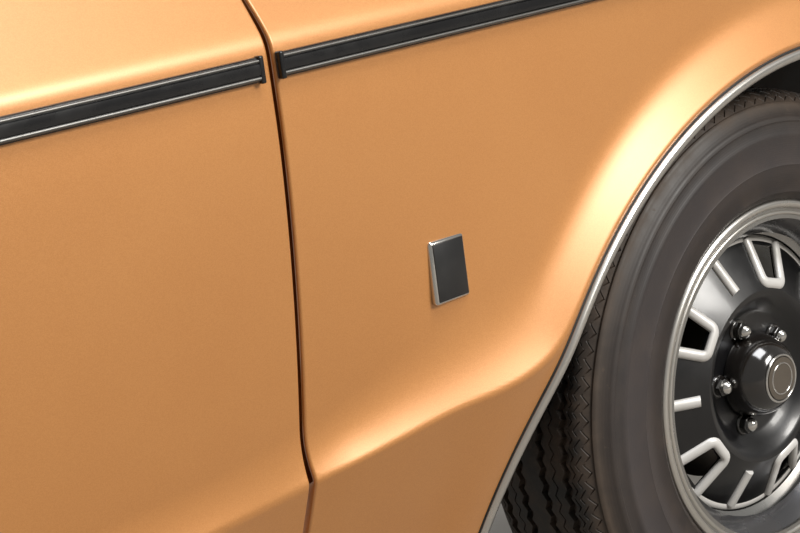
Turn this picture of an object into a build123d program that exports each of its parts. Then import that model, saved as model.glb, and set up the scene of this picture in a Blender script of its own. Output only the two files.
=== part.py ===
"""Front corner of a four-door sedan: wing, front door, wheel, suspension and the structure that carries them.

Frame, in millimetres: X points to the front of the car, Y points inboard, Z points up.
The origin is the middle of the rear end face of the front rail, level with the wheel centre.
The shut line between the wing and the door is the plane X = 0.
"""
from build123d import *
import math
import os

os.makedirs("parts", exist_ok=True)

# Sheet, gaps and fits
SKIN = 1.2
PANEL = 2.0
SHUT_GAP = 5.0
FIT = 0.3
OVERRUN = 20.0

# Body side, a section across the car
SIDE_Y = -419.0
BOTTOM_Z = -100.0
SIDE_LOW_Z = 430.0
SHOULDER_Z = 488.0
BEND_Z = 521.0
WING_TOP_Z = 553.0
GUTTER_Z = 540.0
SILL_Z = 590.0
SILL_Y = -350.0
TUCK_ANGLE = 22.4
CREST_ROUND = 3.0
COVE_WIDTH = 72.0
GUTTER_WIDTH = 28.0
BEND_IN = 23.0
TOP_IN = 50.0
CROWN_IN = 56.0
CROWN_RISE = 3.0
EDGE_IN = 60.0
BLOCK_Y = -200.0

# Lengths along the car
WING_FRONT_X = 1390.0
DOOR_LENGTH = 1075.0
TAPER_START_X = 900.0
TAPER_RADIUS = 2000.0

# Wheel and tyre
AXLE_X = 668.0
RIM_FACE_Y = -370.0
RIM_WIDTH = 152.0
RIM_RADIUS = 195.0
BEAD_RADIUS = 177.8
WELL_RADIUS = 158.0
RIM_SHEET = 3.5
TYRE_RADIUS = 317.0
TYRE_HALF_WIDTH = 89.0
TYRE_WALL = 10.0
TREAD_HALF_WIDTH = 70.0
BOLT_CIRCLE = 112.0
BOLT_COUNT = 5
BOLT_ANGLE = 34.0
WINDOW_ANGLE = 72.5
RIB_ANGLE = 108.5

# Wheel arch: one arc behind the apex and a tighter one in front of it
ARCH_X = 687.0
ARCH_TOP_Z = 365.0
ARCH_REAR_RADIUS = 503.0
ARCH_FRONT_RADIUS = 400.0
ARCH_LIP_Y = -435.0
LIP_DEPTH = 11.0
FLARE_WIDTH = 82.0
FLARE_RISE = 9.0
FLARE_PROUD = 2.5
FLARE_IN = 27.0
FLARE_HOLLOW = (17.0, 32.0)
LIP_BEVEL = 4.0
FLARE_TAIL = 103.0
FLARE_TAIL_SLOPE = 1.2
ARCH_FLANGE = 20.0
TRIM_PROUD = 4.0
TRIM_SHEET = 2.5
TRIM_DEPTH = 14.0
LIP_BEND = 14.0
TAIL_TOP_Z = 190.0

# Side moulding
STRIP_Z = SHOULDER_Z - 20.0
STRIP_WIDTH = 20.0
STRIP_PROUD = 7.0
STRIP_RIM = 4.0
STRIP_DOOR_X = -16.0
STRIP_WING_X = 5.0
STRIP_WING_END_X = 1330.0

# Plain plaque on the wing
PLAQUE_X = 165.0
PLAQUE_Z = 258.0
PLAQUE_WIDTH = 42.0
PLAQUE_HEIGHT = 58.0
PLAQUE_PROUD = 4.0

# Rail and panels of the shell
RAIL_WIDTH = 70.0
RAIL_HEIGHT = 110.0
RAIL_Y = 20.0
RAIL_FRONT_X = 1340.0
RAIL_FLANGE = 170.0
RAIL_FLANGE_THICKNESS = 8.0
RAIL_BOLT_Y = 110.0
RAIL_BOLT_Z = 134.0
RAIL_BOLT_HOLE = 6.5
BULKHEAD_X = 70.0
PILLAR_X = 25.0
PILLAR_DEPTH = 90.0
PILLAR_OUTER_Y = -345.0
PILLAR_INNER_Y = -255.0
PILLAR_SHEET = 2.5
PILLAR_BOTTOM_Z = -105.0
PILLAR_TOP_Z = 524.0

# Suspension
STRUT_TOP = Vector(660.0, -118.0, 500.0)
STRUT_FOOT = Vector(668.0, -165.0, 0.0)
BALL = Vector(668.0, -222.0, -110.0)
BALL_RADIUS = 14.0
BALL_STEPS = 10
TOWER_TOP_Z = 515.0
TOWER_TOP_RADIUS = 82.0
TOWER_BASE_RADIUS = 96.0
TOWER_BASE_Z = 330.0
TOWER_BORE_RADIUS = 26.0
TOWER_SHEET = PANEL + 0.5
MOUNT_STUD_CIRCLE = 50.0
MOUNT_STUD_RADIUS = 4.5
STRUT_RADIUS = 25.0
ROD_RADIUS = 10.0
SPRING_RADIUS = 58.0
SPRING_WIRE = 6.0
SPRING_SEAT_RADIUS = SPRING_RADIUS + SPRING_WIRE + 3
SPRING_LOW = 340.0
SPRING_HIGH = 472.0
SPRING_TURNS = 4
SPRING_STEPS = 18
DISC_RADIUS = 123.0
DISC_THICKNESS = 12.0
DISC_Y = -282.0
HUB_FACE_Y = -329.0
HUB_RADIUS = 70.0
SPINDLE_RADIUS = 17.0
KNUCKLE_FACE_Y = -250.0
KNUCKLE_THICKNESS = 22.0

# Door
HINGE_X = -55.0
HINGE_Y = -372.0
HINGE_PIN_RADIUS = 5.0
HINGE_BARREL_RADIUS = 9.0
HINGE_HEIGHTS = {"lower": 165.0, "upper": 400.0}
HINGE_HEIGHT = 54.0
NECK_REACH = 66.0
LEAF_SHEET = 6.0
BODY_KNUCKLE = 16.0
TRAY_FRONT_X = -75.0
TRAY_REAR_X = -1037.0
TRAY_Y = -300.0
TRAY_BOTTOM_Z = -72.0
CARD_THICKNESS = 6.0
FRAME_LEAN = 20.0
FRAME_DEPTH = 24.0
FRAME_TOP = 430.0
GLASS_THICKNESS = 4.0

SIN_TUCK = math.sin(math.radians(TUCK_ANGLE))
COS_TUCK = math.cos(math.radians(TUCK_ANGLE))
TAN_TUCK = math.tan(math.radians(TUCK_ANGLE))

AXLE = Axis((AXLE_X, 0, 0), (0, 1, 0))
REAR_ARCH_AXIS = Axis((ARCH_X, 0, ARCH_TOP_Z - ARCH_REAR_RADIUS), (0, -1, 0))
FRONT_ARCH_AXIS = Axis((ARCH_X, 0, ARCH_TOP_Z - ARCH_FRONT_RADIUS), (0, 1, 0))
FRONT_ARCH_SWEEP = 110.0

# Body-side stations: place along the car, crest of the lower crease (across and up),
# body line behind the crease, top of the cove
DOOR_STATIONS = (
    (-DOOR_LENGTH - SHUT_GAP / 2, -390.0, 100.0, -380.0, -388.0),
    (-500.0, -390.0, 100.0, -380.0, -388.0),
    (-SHUT_GAP / 2, -391.0, 114.0, -380.0, -388.5),
)
WING_STATIONS = (
    (SHUT_GAP / 2, -391.0, 114.0, -380.0, -388.5),
    (90.0, -409.0, 125.0, -391.0, -396.0),
    (230.0, -434.0, 143.0, -406.0, -408.5),
    (440.0, -436.0, 149.0, -408.0, -411.0),
    (900.0, -436.0, 149.0, -408.0, -411.0),
    (1110.0, -436.0, 149.0, -408.0, -411.0),
    (1250.0, -425.0, 142.0, -401.0, -406.0),
    (WING_FRONT_X, -414.0, 136.0, -397.0, -403.0),
)
# Distance of the tuck-under face from the origin at the arch, measured square to it
ARCH_CREST_Z = 149.0
ARCH_TUCK = COS_TUCK * 436.0 - SIN_TUCK * ARCH_CREST_Z


def taper(x):
    """How far the body side has come inboard at the place x along the car."""
    if x <= TAPER_START_X:
        return 0.0
    run = x - TAPER_START_X
    return TAPER_RADIUS - math.sqrt(TAPER_RADIUS**2 - run**2)


def lower_side(crest_y, crest_z, low_y, cove_y, side_y, end_z, inset):
    """Draw the body side from its bottom edge to the shoulder and return both ends."""
    height = low_y - crest_y

    def cove(run):
        body = low_y + (cove_y - low_y) * run / COVE_WIDTH
        return body - height * (1 - run / COVE_WIDTH) ** 2 + inset

    crest_low_y = crest_y + CREST_ROUND * SIN_TUCK + inset * COS_TUCK
    crest_low_z = crest_z - CREST_ROUND * COS_TUCK + inset * SIN_TUCK
    start = (crest_low_y + (crest_low_z - end_z) * TAN_TUCK, end_z)
    crest_low = (crest_low_y, crest_low_z)
    crest = (crest_y + 0.5 + inset, crest_z)
    crest_high = (cove(CREST_ROUND), crest_z + CREST_ROUND)
    cove_middle = (cove(COVE_WIDTH / 2), crest_z + COVE_WIDTH / 2)
    cove_top = (cove_y + inset, crest_z + COVE_WIDTH)
    side_low = (side_y + inset, SIDE_LOW_Z)
    bulge = 0.19 * (cove_y - side_y)
    belly = ((cove_top[0] + side_low[0]) / 2 - bulge, (cove_top[1] + side_low[1]) / 2)
    shoulder = (side_y + 2 + inset, SHOULDER_Z)
    Line(start, crest_low)
    ThreePointArc(crest_low, crest, crest_high)
    ThreePointArc(crest_high, cove_middle, cove_top)
    ThreePointArc(cove_top, belly, side_low)
    Line(side_low, shoulder)
    return start, shoulder


def wing_section(station, inset):
    """Closed section of the wing: the solid side for inset 0, else the space inside its sheet."""
    x, crest_y, crest_z, low_y, cove_y = station
    shift = taper(x)
    side_y = SIDE_Y + shift
    end_z = BOTTOM_Z - OVERRUN if inset else BOTTOM_Z
    with BuildSketch(Plane.YZ.offset(x)) as section:
        with BuildLine():
            start, shoulder = lower_side(
                crest_y + shift, crest_z, low_y + shift, cove_y + shift, side_y, end_z, inset
            )
            bend = (side_y + BEND_IN + 0.85 * inset, BEND_Z - 0.5 * inset)
            top = (side_y + TOP_IN + 0.6 * inset, WING_TOP_Z - 0.8 * inset)
            crown = (side_y + CROWN_IN, WING_TOP_Z + CROWN_RISE - inset)
            edge = (side_y + EDGE_IN - inset, WING_TOP_Z - 1 - 0.3 * inset)
            gutter = (side_y + EDGE_IN - inset, GUTTER_Z - inset)
            ThreePointArc(shoulder, bend, top)
            ThreePointArc(top, crown, edge)
            Line(edge, gutter)
            if inset:
                flange_y = side_y + EDGE_IN + GUTTER_WIDTH
                above = WING_TOP_Z + OVERRUN
                Polyline(
                    gutter,
                    (flange_y, GUTTER_Z - inset),
                    (flange_y, above),
                    (BLOCK_Y + OVERRUN, above),
                    (BLOCK_Y + OVERRUN, end_z),
                    start,
                )
            else:
                Polyline(gutter, (BLOCK_Y, GUTTER_Z), (BLOCK_Y, end_z), start)
        make_face()
    return section.sketch


def door_section(station, inset):
    """Closed section of the door below its sill, solid for inset 0, else the space inside the sheet."""
    x, crest_y, crest_z, low_y, cove_y = station
    end_z = BOTTOM_Z - OVERRUN if inset else BOTTOM_Z
    with BuildSketch(Plane.YZ.offset(x)) as section:
        with BuildLine():
            start, shoulder = lower_side(crest_y, crest_z, low_y, cove_y, SIDE_Y, end_z, inset)
            bend = (SIDE_Y + BEND_IN + 0.85 * inset, BEND_Z - 0.5 * inset)
            sill = (SILL_Y + 0.8 * inset, SILL_Z - 0.6 * inset)
            ThreePointArc(shoulder, bend, sill)
            if inset:
                above = SILL_Z + OVERRUN
                Polyline(
                    sill,
                    (SILL_Y + 0.6 * OVERRUN, above),
                    (BLOCK_Y + OVERRUN, above),
                    (BLOCK_Y + OVERRUN, end_z),
                    start,
                )
            else:
                Polyline(sill, (BLOCK_Y, SILL_Z), (BLOCK_Y, end_z), start)
        make_face()
    return section.sketch


def flare_section(inset):
    """Section of the flare round the arch, in the plane of the arch's apex."""
    lip_z = ARCH_TOP_Z
    flange_z = lip_z - LIP_DEPTH + inset
    crest_z = lip_z + FLARE_RISE
    hollow_in, hollow_rise = FLARE_HOLLOW
    end_z = lip_z + FLARE_WIDTH
    tail_z = end_z + FLARE_TAIL / FLARE_TAIL_SLOPE - inset
    with BuildSketch(Plane.YZ.offset(ARCH_X)) as section:
        with BuildLine():
            Polyline(
                (BLOCK_Y, flange_z),
                (ARCH_LIP_Y + LIP_BEVEL + inset, flange_z),
                (ARCH_LIP_Y + inset, lip_z),
                (ARCH_LIP_Y - FLARE_PROUD + inset, crest_z),
            )
            ThreePointArc(
                (ARCH_LIP_Y - FLARE_PROUD + inset, crest_z),
                (ARCH_LIP_Y + hollow_in + inset, crest_z + hollow_rise),
                (ARCH_LIP_Y + FLARE_IN + inset, end_z),
            )
            Polyline(
                (ARCH_LIP_Y + FLARE_IN + inset, end_z), (ARCH_LIP_Y + FLARE_IN + FLARE_TAIL + inset, tail_z),
                (BLOCK_Y, tail_z), (BLOCK_Y, flange_z),
            )
        make_face()
    return section.sketch


def outside_tuck(distance):
    """Section of all that lies outboard of the tuck-under face moved by the distance given."""

    def edge(z):
        return -(distance + SIN_TUCK * z) / COS_TUCK

    low, high = BOTTOM_Z - 3 * OVERRUN, WING_TOP_Z + 3 * OVERRUN
    with BuildSketch(Plane.YZ) as section:
        with BuildLine():
            Polyline(
                (edge(low), low), (edge(high), high), (edge(high) - 400, high),
                (edge(high) - 400, low), (edge(low), low),
            )
        make_face()
    return section.sketch


def arch_opening(inset):
    """Outline of the arch seen from the side, smaller than the painted edge by the inset."""
    rear_z = ARCH_TOP_Z - ARCH_REAR_RADIUS
    front_z = ARCH_TOP_Z - ARCH_FRONT_RADIUS
    rear = ARCH_REAR_RADIUS - inset
    front = ARCH_FRONT_RADIUS - inset
    floor_z = rear_z - 4 * OVERRUN
    with BuildSketch(Plane.XZ) as outline:
        with BuildLine():
            CenterArc((ARCH_X, rear_z), rear, 90, 90)
            Polyline(
                (ARCH_X - rear, rear_z), (ARCH_X - rear, floor_z),
                (ARCH_X + front, floor_z), (ARCH_X + front, front_z),
            )
            CenterArc((ARCH_X, front_z), front, 0, 90)
        make_face()
    return outline.sketch


def finish(part, name):
    """Name a finished piece and write it."""
    part.label = name
    export_step(part, f"parts/{name}.step")


# Solid body side and the space inside its sheet, from which wing and door are cut
with BuildPart() as wing_block:
    loft(sections=[wing_section(station, 0) for station in WING_STATIONS])
    revolve(flare_section(0), axis=REAR_ARCH_AXIS, revolution_arc=90)
    revolve(flare_section(0), axis=FRONT_ARCH_AXIS, revolution_arc=FRONT_ARCH_SWEEP)
    extrude(outside_tuck(ARCH_TUCK), amount=WING_FRONT_X, mode=Mode.SUBTRACT)

with BuildPart() as wing_space:
    first, *middle, last = WING_STATIONS
    stretched = [(first[0] - OVERRUN, *first[1:]), *WING_STATIONS, (last[0] + OVERRUN, *last[1:])]
    loft(sections=[wing_section(station, SKIN) for station in stretched])
    revolve(flare_section(SKIN), axis=REAR_ARCH_AXIS, revolution_arc=90)
    revolve(flare_section(SKIN), axis=FRONT_ARCH_AXIS, revolution_arc=FRONT_ARCH_SWEEP)
    extrude(outside_tuck(ARCH_TUCK - SKIN), amount=WING_FRONT_X + OVERRUN, mode=Mode.SUBTRACT)

with BuildPart() as door_block:
    loft(sections=[door_section(station, 0) for station in DOOR_STATIONS])

with BuildPart() as door_space:
    rear, centre, front = DOOR_STATIONS
    stretched = [(rear[0] - OVERRUN, *rear[1:]), *DOOR_STATIONS, (front[0] + OVERRUN, *front[1:])]
    loft(sections=[door_section(station, SKIN) for station in stretched])

# Front wing: sheet with a flared arch, an inner return flange and a bolting flange in the gutter
with BuildPart() as arch_flange:
    for axis, sweep_angle in ((REAR_ARCH_AXIS, 90), (FRONT_ARCH_AXIS, FRONT_ARCH_SWEEP)):
        with BuildSketch(Plane.YZ.offset(ARCH_X)):
            with Locations((ARCH_LIP_Y + LIP_BEVEL + ARCH_FLANGE / 2, ARCH_TOP_Z - LIP_DEPTH + SKIN / 2)):
                Rectangle(ARCH_FLANGE, SKIN)
        revolve(axis=axis, revolution_arc=sweep_angle)
    extrude(outside_tuck(ARCH_TUCK - SKIN), amount=WING_FRONT_X, mode=Mode.SUBTRACT)

with BuildPart() as front_wing:
    add(wing_block.part)
    add(wing_space.part, mode=Mode.SUBTRACT)
    add(arch_flange.part)
    extrude(arch_opening(LIP_DEPTH), amount=2 * abs(SIDE_Y), both=True, mode=Mode.SUBTRACT)
    with BuildSketch(Plane.XY.offset(BOTTOM_Z)):
        with Locations((WING_FRONT_X / 2, SIDE_Y)):
            Rectangle(2 * WING_FRONT_X, 3 * abs(SIDE_Y))
    extrude(amount=-10 * OVERRUN, mode=Mode.SUBTRACT)
finish(front_wing.part, "front_wing")


# Bright trim rolled over the edge of the arch
with BuildPart() as arch_trim:
    flange_z = ARCH_TOP_Z - LIP_DEPTH
    with BuildSketch(Plane.YZ.offset(ARCH_X)) as trim_section:
        with BuildLine():
            Line((ARCH_LIP_Y, ARCH_TOP_Z), (ARCH_LIP_Y - TRIM_SHEET, ARCH_TOP_Z))
            ThreePointArc(
                (ARCH_LIP_Y - TRIM_SHEET, ARCH_TOP_Z),
                (ARCH_LIP_Y - TRIM_SHEET + 1, (ARCH_TOP_Z + flange_z) / 2),
                (ARCH_LIP_Y + LIP_BEVEL, flange_z - TRIM_SHEET),
            )
            Polyline(
                (ARCH_LIP_Y + LIP_BEVEL, flange_z - TRIM_SHEET),
                (ARCH_LIP_Y + TRIM_DEPTH, flange_z - TRIM_SHEET), (ARCH_LIP_Y + TRIM_DEPTH, flange_z),
                (ARCH_LIP_Y + LIP_BEVEL, flange_z), (ARCH_LIP_Y, ARCH_TOP_Z),
            )
        make_face()
    revolve(trim_section.sketch, axis=REAR_ARCH_AXIS, revolution_arc=90)
    revolve(trim_section.sketch, axis=FRONT_ARCH_AXIS, revolution_arc=FRONT_ARCH_SWEEP)
    extrude(outside_tuck(ARCH_TUCK), amount=WING_FRONT_X, mode=Mode.SUBTRACT)


def lip_y(z):
    """Place of the arch's lip across the car: upright above, bending into the tuck-under below."""
    return ARCH_LIP_Y - 1 + TAN_TUCK * LIP_BEND * math.log1p(math.exp((ARCH_CREST_Z - z) / LIP_BEND))


TAIL_HEIGHTS = (BOTTOM_Z, 80.0, 110.0, 130.0, 145.0, 160.0, 175.0, TAIL_TOP_Z)
with BuildPart() as trim_tail:
    with BuildSketch(Plane.YZ):
        with BuildLine():
            outer = [(lip_y(z) - TRIM_PROUD + 0.5, z) for z in TAIL_HEIGHTS]
            inner = [(lip_y(z) + 2, z) for z in reversed(TAIL_HEIGHTS)]
            Polyline(*outer, *inner, outer[0])
        make_face()
    extrude(amount=WING_FRONT_X)
    extrude(arch_opening(0), amount=2 * abs(SIDE_Y), both=True, mode=Mode.INTERSECT)
    extrude(arch_opening(LIP_DEPTH + TRIM_SHEET), amount=2 * abs(SIDE_Y), both=True, mode=Mode.SUBTRACT)

with BuildPart() as arch_bead:
    add(arch_trim.part)
    with BuildSketch(Plane.XY.offset(TAIL_TOP_Z)):
        with Locations((WING_FRONT_X / 2, SIDE_Y)):
            Rectangle(2 * WING_FRONT_X, 3 * abs(SIDE_Y))
    extrude(amount=-30 * OVERRUN, mode=Mode.SUBTRACT)
    add(trim_tail.part)
    add(front_wing.part, mode=Mode.SUBTRACT)
    with BuildSketch(Plane.XY.offset(BOTTOM_Z)):
        with Locations((WING_FRONT_X / 2, SIDE_Y)):
            Rectangle(2 * WING_FRONT_X, 3 * abs(SIDE_Y))
    extrude(amount=-10 * OVERRUN, mode=Mode.SUBTRACT)
finish(arch_bead.part, "arch_trim")


def strip_section(plane, proud, width, depth):
    """Rounded cross-section of the side moulding, standing out from the body side."""
    with BuildSketch(plane) as section:
        with BuildLine():
            low, high = STRIP_Z - width / 2, STRIP_Z + width / 2
            Line((SIDE_Y + depth, low), (SIDE_Y - proud + 2, low))
            face_y = SIDE_Y - proud
            ThreePointArc((face_y + 2, low), (face_y + 0.4, low + 0.8), (face_y, low + 2.5))
            Line((face_y, low + 2.5), (face_y, high - 2.5))
            ThreePointArc((face_y, high - 2.5), (face_y + 0.4, high - 0.8), (face_y + 2, high))
            Polyline((face_y + 2, high), (SIDE_Y + depth, high), (SIDE_Y + depth, low))
        make_face()
    return section.sketch


# Side mouldings: a bright carrier with a black insert, in one length on the door and one on the wing
STRIP_GROOVE = STRIP_WIDTH - 2 * STRIP_RIM
door_strip_plane = Plane.YZ.offset(-DOOR_LENGTH + 8)
door_strip_length = DOOR_LENGTH - 8 + STRIP_DOOR_X

with BuildPart() as door_moulding:
    extrude(strip_section(door_strip_plane, STRIP_PROUD, STRIP_WIDTH, 5), amount=door_strip_length)
    add(door_block.part, mode=Mode.SUBTRACT)
    groove = strip_section(door_strip_plane, STRIP_PROUD + 5, STRIP_GROOVE, -3)
    extrude(groove, amount=door_strip_length, mode=Mode.SUBTRACT)
finish(door_moulding.part, "door_moulding")

with BuildPart() as door_moulding_insert:
    extrude(strip_section(door_strip_plane, STRIP_PROUD + 1, STRIP_GROOVE, -3), amount=door_strip_length)
finish(door_moulding_insert.part, "door_moulding_insert")


def along_wing(proud, width, depth):
    """Moulding run along the wing: straight, then following its taper to the front."""
    straight = extrude(
        strip_section(Plane.YZ.offset(STRIP_WING_X), proud, width, depth),
        amount=TAPER_START_X - STRIP_WING_X, mode=Mode.PRIVATE,
    )
    turn = math.degrees(math.asin((STRIP_WING_END_X - TAPER_START_X) / TAPER_RADIUS))
    bent = revolve(
        strip_section(Plane.YZ.offset(TAPER_START_X), proud, width, depth),
        axis=Axis((TAPER_START_X, SIDE_Y + TAPER_RADIUS, 0), (0, 0, 1)),
        revolution_arc=turn, mode=Mode.PRIVATE,
    )
    return straight, bent


with BuildPart() as wing_moulding:
    add(along_wing(STRIP_PROUD, STRIP_WIDTH, 5))
    add(wing_block.part, mode=Mode.SUBTRACT)
    add(along_wing(STRIP_PROUD + 5, STRIP_GROOVE, -3), mode=Mode.SUBTRACT)
finish(wing_moulding.part, "wing_moulding")

with BuildPart() as wing_moulding_insert:
    add(along_wing(STRIP_PROUD + 1, STRIP_GROOVE, -3))
finish(wing_moulding_insert.part, "wing_moulding_insert")

# Plain plaque on the wing, seated on the curve of the sheet
with BuildPart() as wing_plaque:
    with BuildSketch(Plane.XZ.offset(-SIDE_Y - 20)):
        with Locations((PLAQUE_X, PLAQUE_Z)):
            RectangleRounded(PLAQUE_WIDTH, PLAQUE_HEIGHT, 4)
    extrude(amount=9 + PLAQUE_PROUD)
    add(wing_block.part, mode=Mode.SUBTRACT)
finish(wing_plaque.part, "wing_plaque")

# Front rail: closed box section with a bolted flange at its rear end
with BuildPart() as front_rail:
    with BuildSketch(Plane.YZ):
        with Locations((RAIL_Y, 0)):
            RectangleRounded(RAIL_WIDTH, RAIL_HEIGHT, 8)
            RectangleRounded(RAIL_WIDTH - 2 * PANEL, RAIL_HEIGHT - 2 * PANEL, 6, mode=Mode.SUBTRACT)
    extrude(amount=RAIL_FRONT_X)
    with BuildSketch(Plane.YZ):
        with Locations((0, 0)):
            RectangleRounded(RAIL_FLANGE, RAIL_FLANGE, 12)
        with Locations((RAIL_Y, 0)):
            RectangleRounded(RAIL_WIDTH - 2 * PANEL, RAIL_HEIGHT - 2 * PANEL, 6, mode=Mode.SUBTRACT)
    extrude(amount=RAIL_FLANGE_THICKNESS)
    with BuildSketch(Plane.YZ):
        with GridLocations(RAIL_BOLT_Y, RAIL_BOLT_Z, 2, 2):
            Circle(RAIL_BOLT_HOLE)
    extrude(amount=RAIL_FLANGE_THICKNESS, mode=Mode.SUBTRACT)
finish(front_rail.part, "front_rail")

rail_outer = RAIL_Y - RAIL_WIDTH / 2
rail_inner = RAIL_Y + RAIL_WIDTH / 2
rail_top = RAIL_HEIGHT / 2
apron_top = GUTTER_Z - SKIN

# Side panel of the bulkhead, cut round the rail
with BuildPart() as bulkhead_panel:
    with BuildSketch(Plane.YZ.offset(BULKHEAD_X)):
        with BuildLine():
            Polyline(
                (PILLAR_INNER_Y, PILLAR_BOTTOM_Z), (rail_outer, PILLAR_BOTTOM_Z), (rail_outer, rail_top),
                (rail_inner, rail_top), (rail_inner, apron_top - 30), (PILLAR_INNER_Y, apron_top - 30),
                (PILLAR_INNER_Y, PILLAR_BOTTOM_Z),
            )
        make_face()
        with Locations(((PILLAR_INNER_Y + rail_outer) / 2, 40)):
            SlotOverall(110, 50, rotation=90, mode=Mode.SUBTRACT)
    extrude(amount=PANEL)
    with BuildSketch(Plane.YZ.offset(BULKHEAD_X + PANEL)):
        with Locations(((PILLAR_INNER_Y + rail_outer) / 2, 260)):
            RectangleRounded(150, 180, 20)
            RectangleRounded(120, 150, 14, mode=Mode.SUBTRACT)
    extrude(amount=5)
finish(bulkhead_panel.part, "bulkhead_panel")

# Hinge pillar: box section that follows the tuck of the body side
def pillar_section(x, inset):
    """Section of the hinge pillar at the place x, smaller all round by the inset."""
    with BuildSketch(Plane.YZ.offset(x)) as section:
        with BuildLine():
            Polyline(
                (PILLAR_INNER_Y - inset, PILLAR_BOTTOM_Z + inset),
                (PILLAR_INNER_Y - 30 + 0.8 * inset, PILLAR_BOTTOM_Z + inset),
                (PILLAR_OUTER_Y + inset, 60 + 0.2 * inset), (PILLAR_OUTER_Y + inset, PILLAR_TOP_Z - inset),
                (PILLAR_INNER_Y - inset, PILLAR_TOP_Z - inset),
                (PILLAR_INNER_Y - inset, PILLAR_BOTTOM_Z + inset),
            )
        make_face()
    return section.sketch


with BuildPart() as hinge_pillar:
    extrude(pillar_section(PILLAR_X, 0), amount=PILLAR_DEPTH)
    extrude(
        pillar_section(PILLAR_X + PILLAR_SHEET, PILLAR_SHEET),
        amount=PILLAR_DEPTH - 2 * PILLAR_SHEET, mode=Mode.SUBTRACT,
    )
    with BuildSketch(Plane.XZ.offset(-PILLAR_INNER_Y)):
        with Locations((PILLAR_X + PILLAR_DEPTH / 2, 90), (PILLAR_X + PILLAR_DEPTH / 2, 290)):
            SlotOverall(90, 40, rotation=90)
    extrude(amount=PILLAR_SHEET, mode=Mode.SUBTRACT)
finish(hinge_pillar.part, "hinge_pillar")

# Strut tower: pressed turret with an open foot, cut along the inner wing
with BuildPart() as turret_cone:
    with BuildSketch(Plane.XZ.offset(-STRUT_TOP.Y)):
        with BuildLine():
            Polyline(
                (STRUT_TOP.X, TOWER_BASE_Z), (STRUT_TOP.X + TOWER_BASE_RADIUS, TOWER_BASE_Z),
                (STRUT_TOP.X + TOWER_TOP_RADIUS, TOWER_TOP_Z), (STRUT_TOP.X, TOWER_TOP_Z),
                (STRUT_TOP.X, TOWER_BASE_Z),
            )
        make_face()
    revolve(axis=Axis((STRUT_TOP.X, STRUT_TOP.Y, 0), (0, 0, 1)))
    chamfer(turret_cone.faces().sort_by(Axis.Z)[-1].edges(), length=6)

APRON_LOW_Y = rail_outer
APRON_HOLES = (240, 330, 1010, 1100)
APRON_PROFILE = (
    (APRON_LOW_Y, rail_top - 60), (APRON_LOW_Y, 300.0), (-62.0, 400.0), (-270.0, apron_top),
    (SIDE_Y + EDGE_IN + FIT, apron_top),
)


def apron_section(plane, drop):
    """Folded section of the inner wing, closed a given distance below its upper face."""
    with BuildSketch(plane) as section:
        with BuildLine():
            folded = [
                (APRON_LOW_Y - drop, rail_top - 60), (APRON_LOW_Y - drop, 300.0 - drop / 4),
                (-62.0 - 0.8 * drop, 400.0 - drop / 2), (-270.0 - drop / 3, apron_top - drop),
                (SIDE_Y + EDGE_IN + FIT, apron_top - drop),
            ]
            Polyline(*APRON_PROFILE, *reversed(folded), APRON_PROFILE[0])
        make_face()
    return section.sketch


with BuildPart() as inner_wing:
    apron_start = BULKHEAD_X + PANEL
    extrude(apron_section(Plane.YZ.offset(apron_start), PANEL), amount=RAIL_FRONT_X - PANEL - apron_start)
    with BuildSketch(Plane.XY.offset(-OVERRUN)):
        with BuildLine():
            turn = math.degrees(math.asin((WING_FRONT_X - TAPER_START_X) / TAPER_RADIUS))
            edge_y = SIDE_Y + EDGE_IN + FIT
            Line((TAPER_START_X, edge_y), (PILLAR_X, edge_y))
            front_edge = (WING_FRONT_X, edge_y + taper(WING_FRONT_X))
            Polyline((PILLAR_X, edge_y), (PILLAR_X, 100), (WING_FRONT_X, 100), front_edge)
            CenterArc((TAPER_START_X, edge_y + TAPER_RADIUS), TAPER_RADIUS, -90, turn)
        make_face()
    extrude(amount=WING_TOP_Z + OVERRUN, mode=Mode.INTERSECT)
    add(turret_cone.part, mode=Mode.SUBTRACT)
    with BuildSketch(Plane.XZ):
        for hole_x in APRON_HOLES:
            with Locations((hole_x, 210)):
                Circle(22)
    extrude(amount=100, both=True, mode=Mode.SUBTRACT)
finish(inner_wing.part, "inner_wing")

with BuildPart() as strut_tower:
    add(turret_cone.part)
    offset(amount=-TOWER_SHEET, openings=strut_tower.faces().sort_by(Axis.Z)[0])
    with BuildSketch(Plane.YZ.offset(PILLAR_X)):
        with BuildLine():
            Polyline(
                (APRON_LOW_Y - PANEL, TOWER_BASE_Z - 100), (APRON_LOW_Y - PANEL, 300.0 - PANEL / 4),
                (-62.0 - 0.8 * PANEL, 400.0 - PANEL / 2), (-270.0 - PANEL / 3, apron_top - PANEL),
                (-400, apron_top - PANEL), (-400, TOWER_BASE_Z - 100),
                (APRON_LOW_Y - PANEL, TOWER_BASE_Z - 100),
            )
        make_face()
    extrude(amount=WING_FRONT_X, mode=Mode.SUBTRACT)
    with BuildSketch(Plane.XY.offset(TOWER_TOP_Z)):
        with Locations((STRUT_TOP.X, STRUT_TOP.Y)):
            Circle(TOWER_BORE_RADIUS)
            with PolarLocations(MOUNT_STUD_CIRCLE, 3):
                Circle(MOUNT_STUD_RADIUS + 0.5)
    extrude(amount=-10, mode=Mode.SUBTRACT)
finish(strut_tower.part, "strut_tower")

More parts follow.
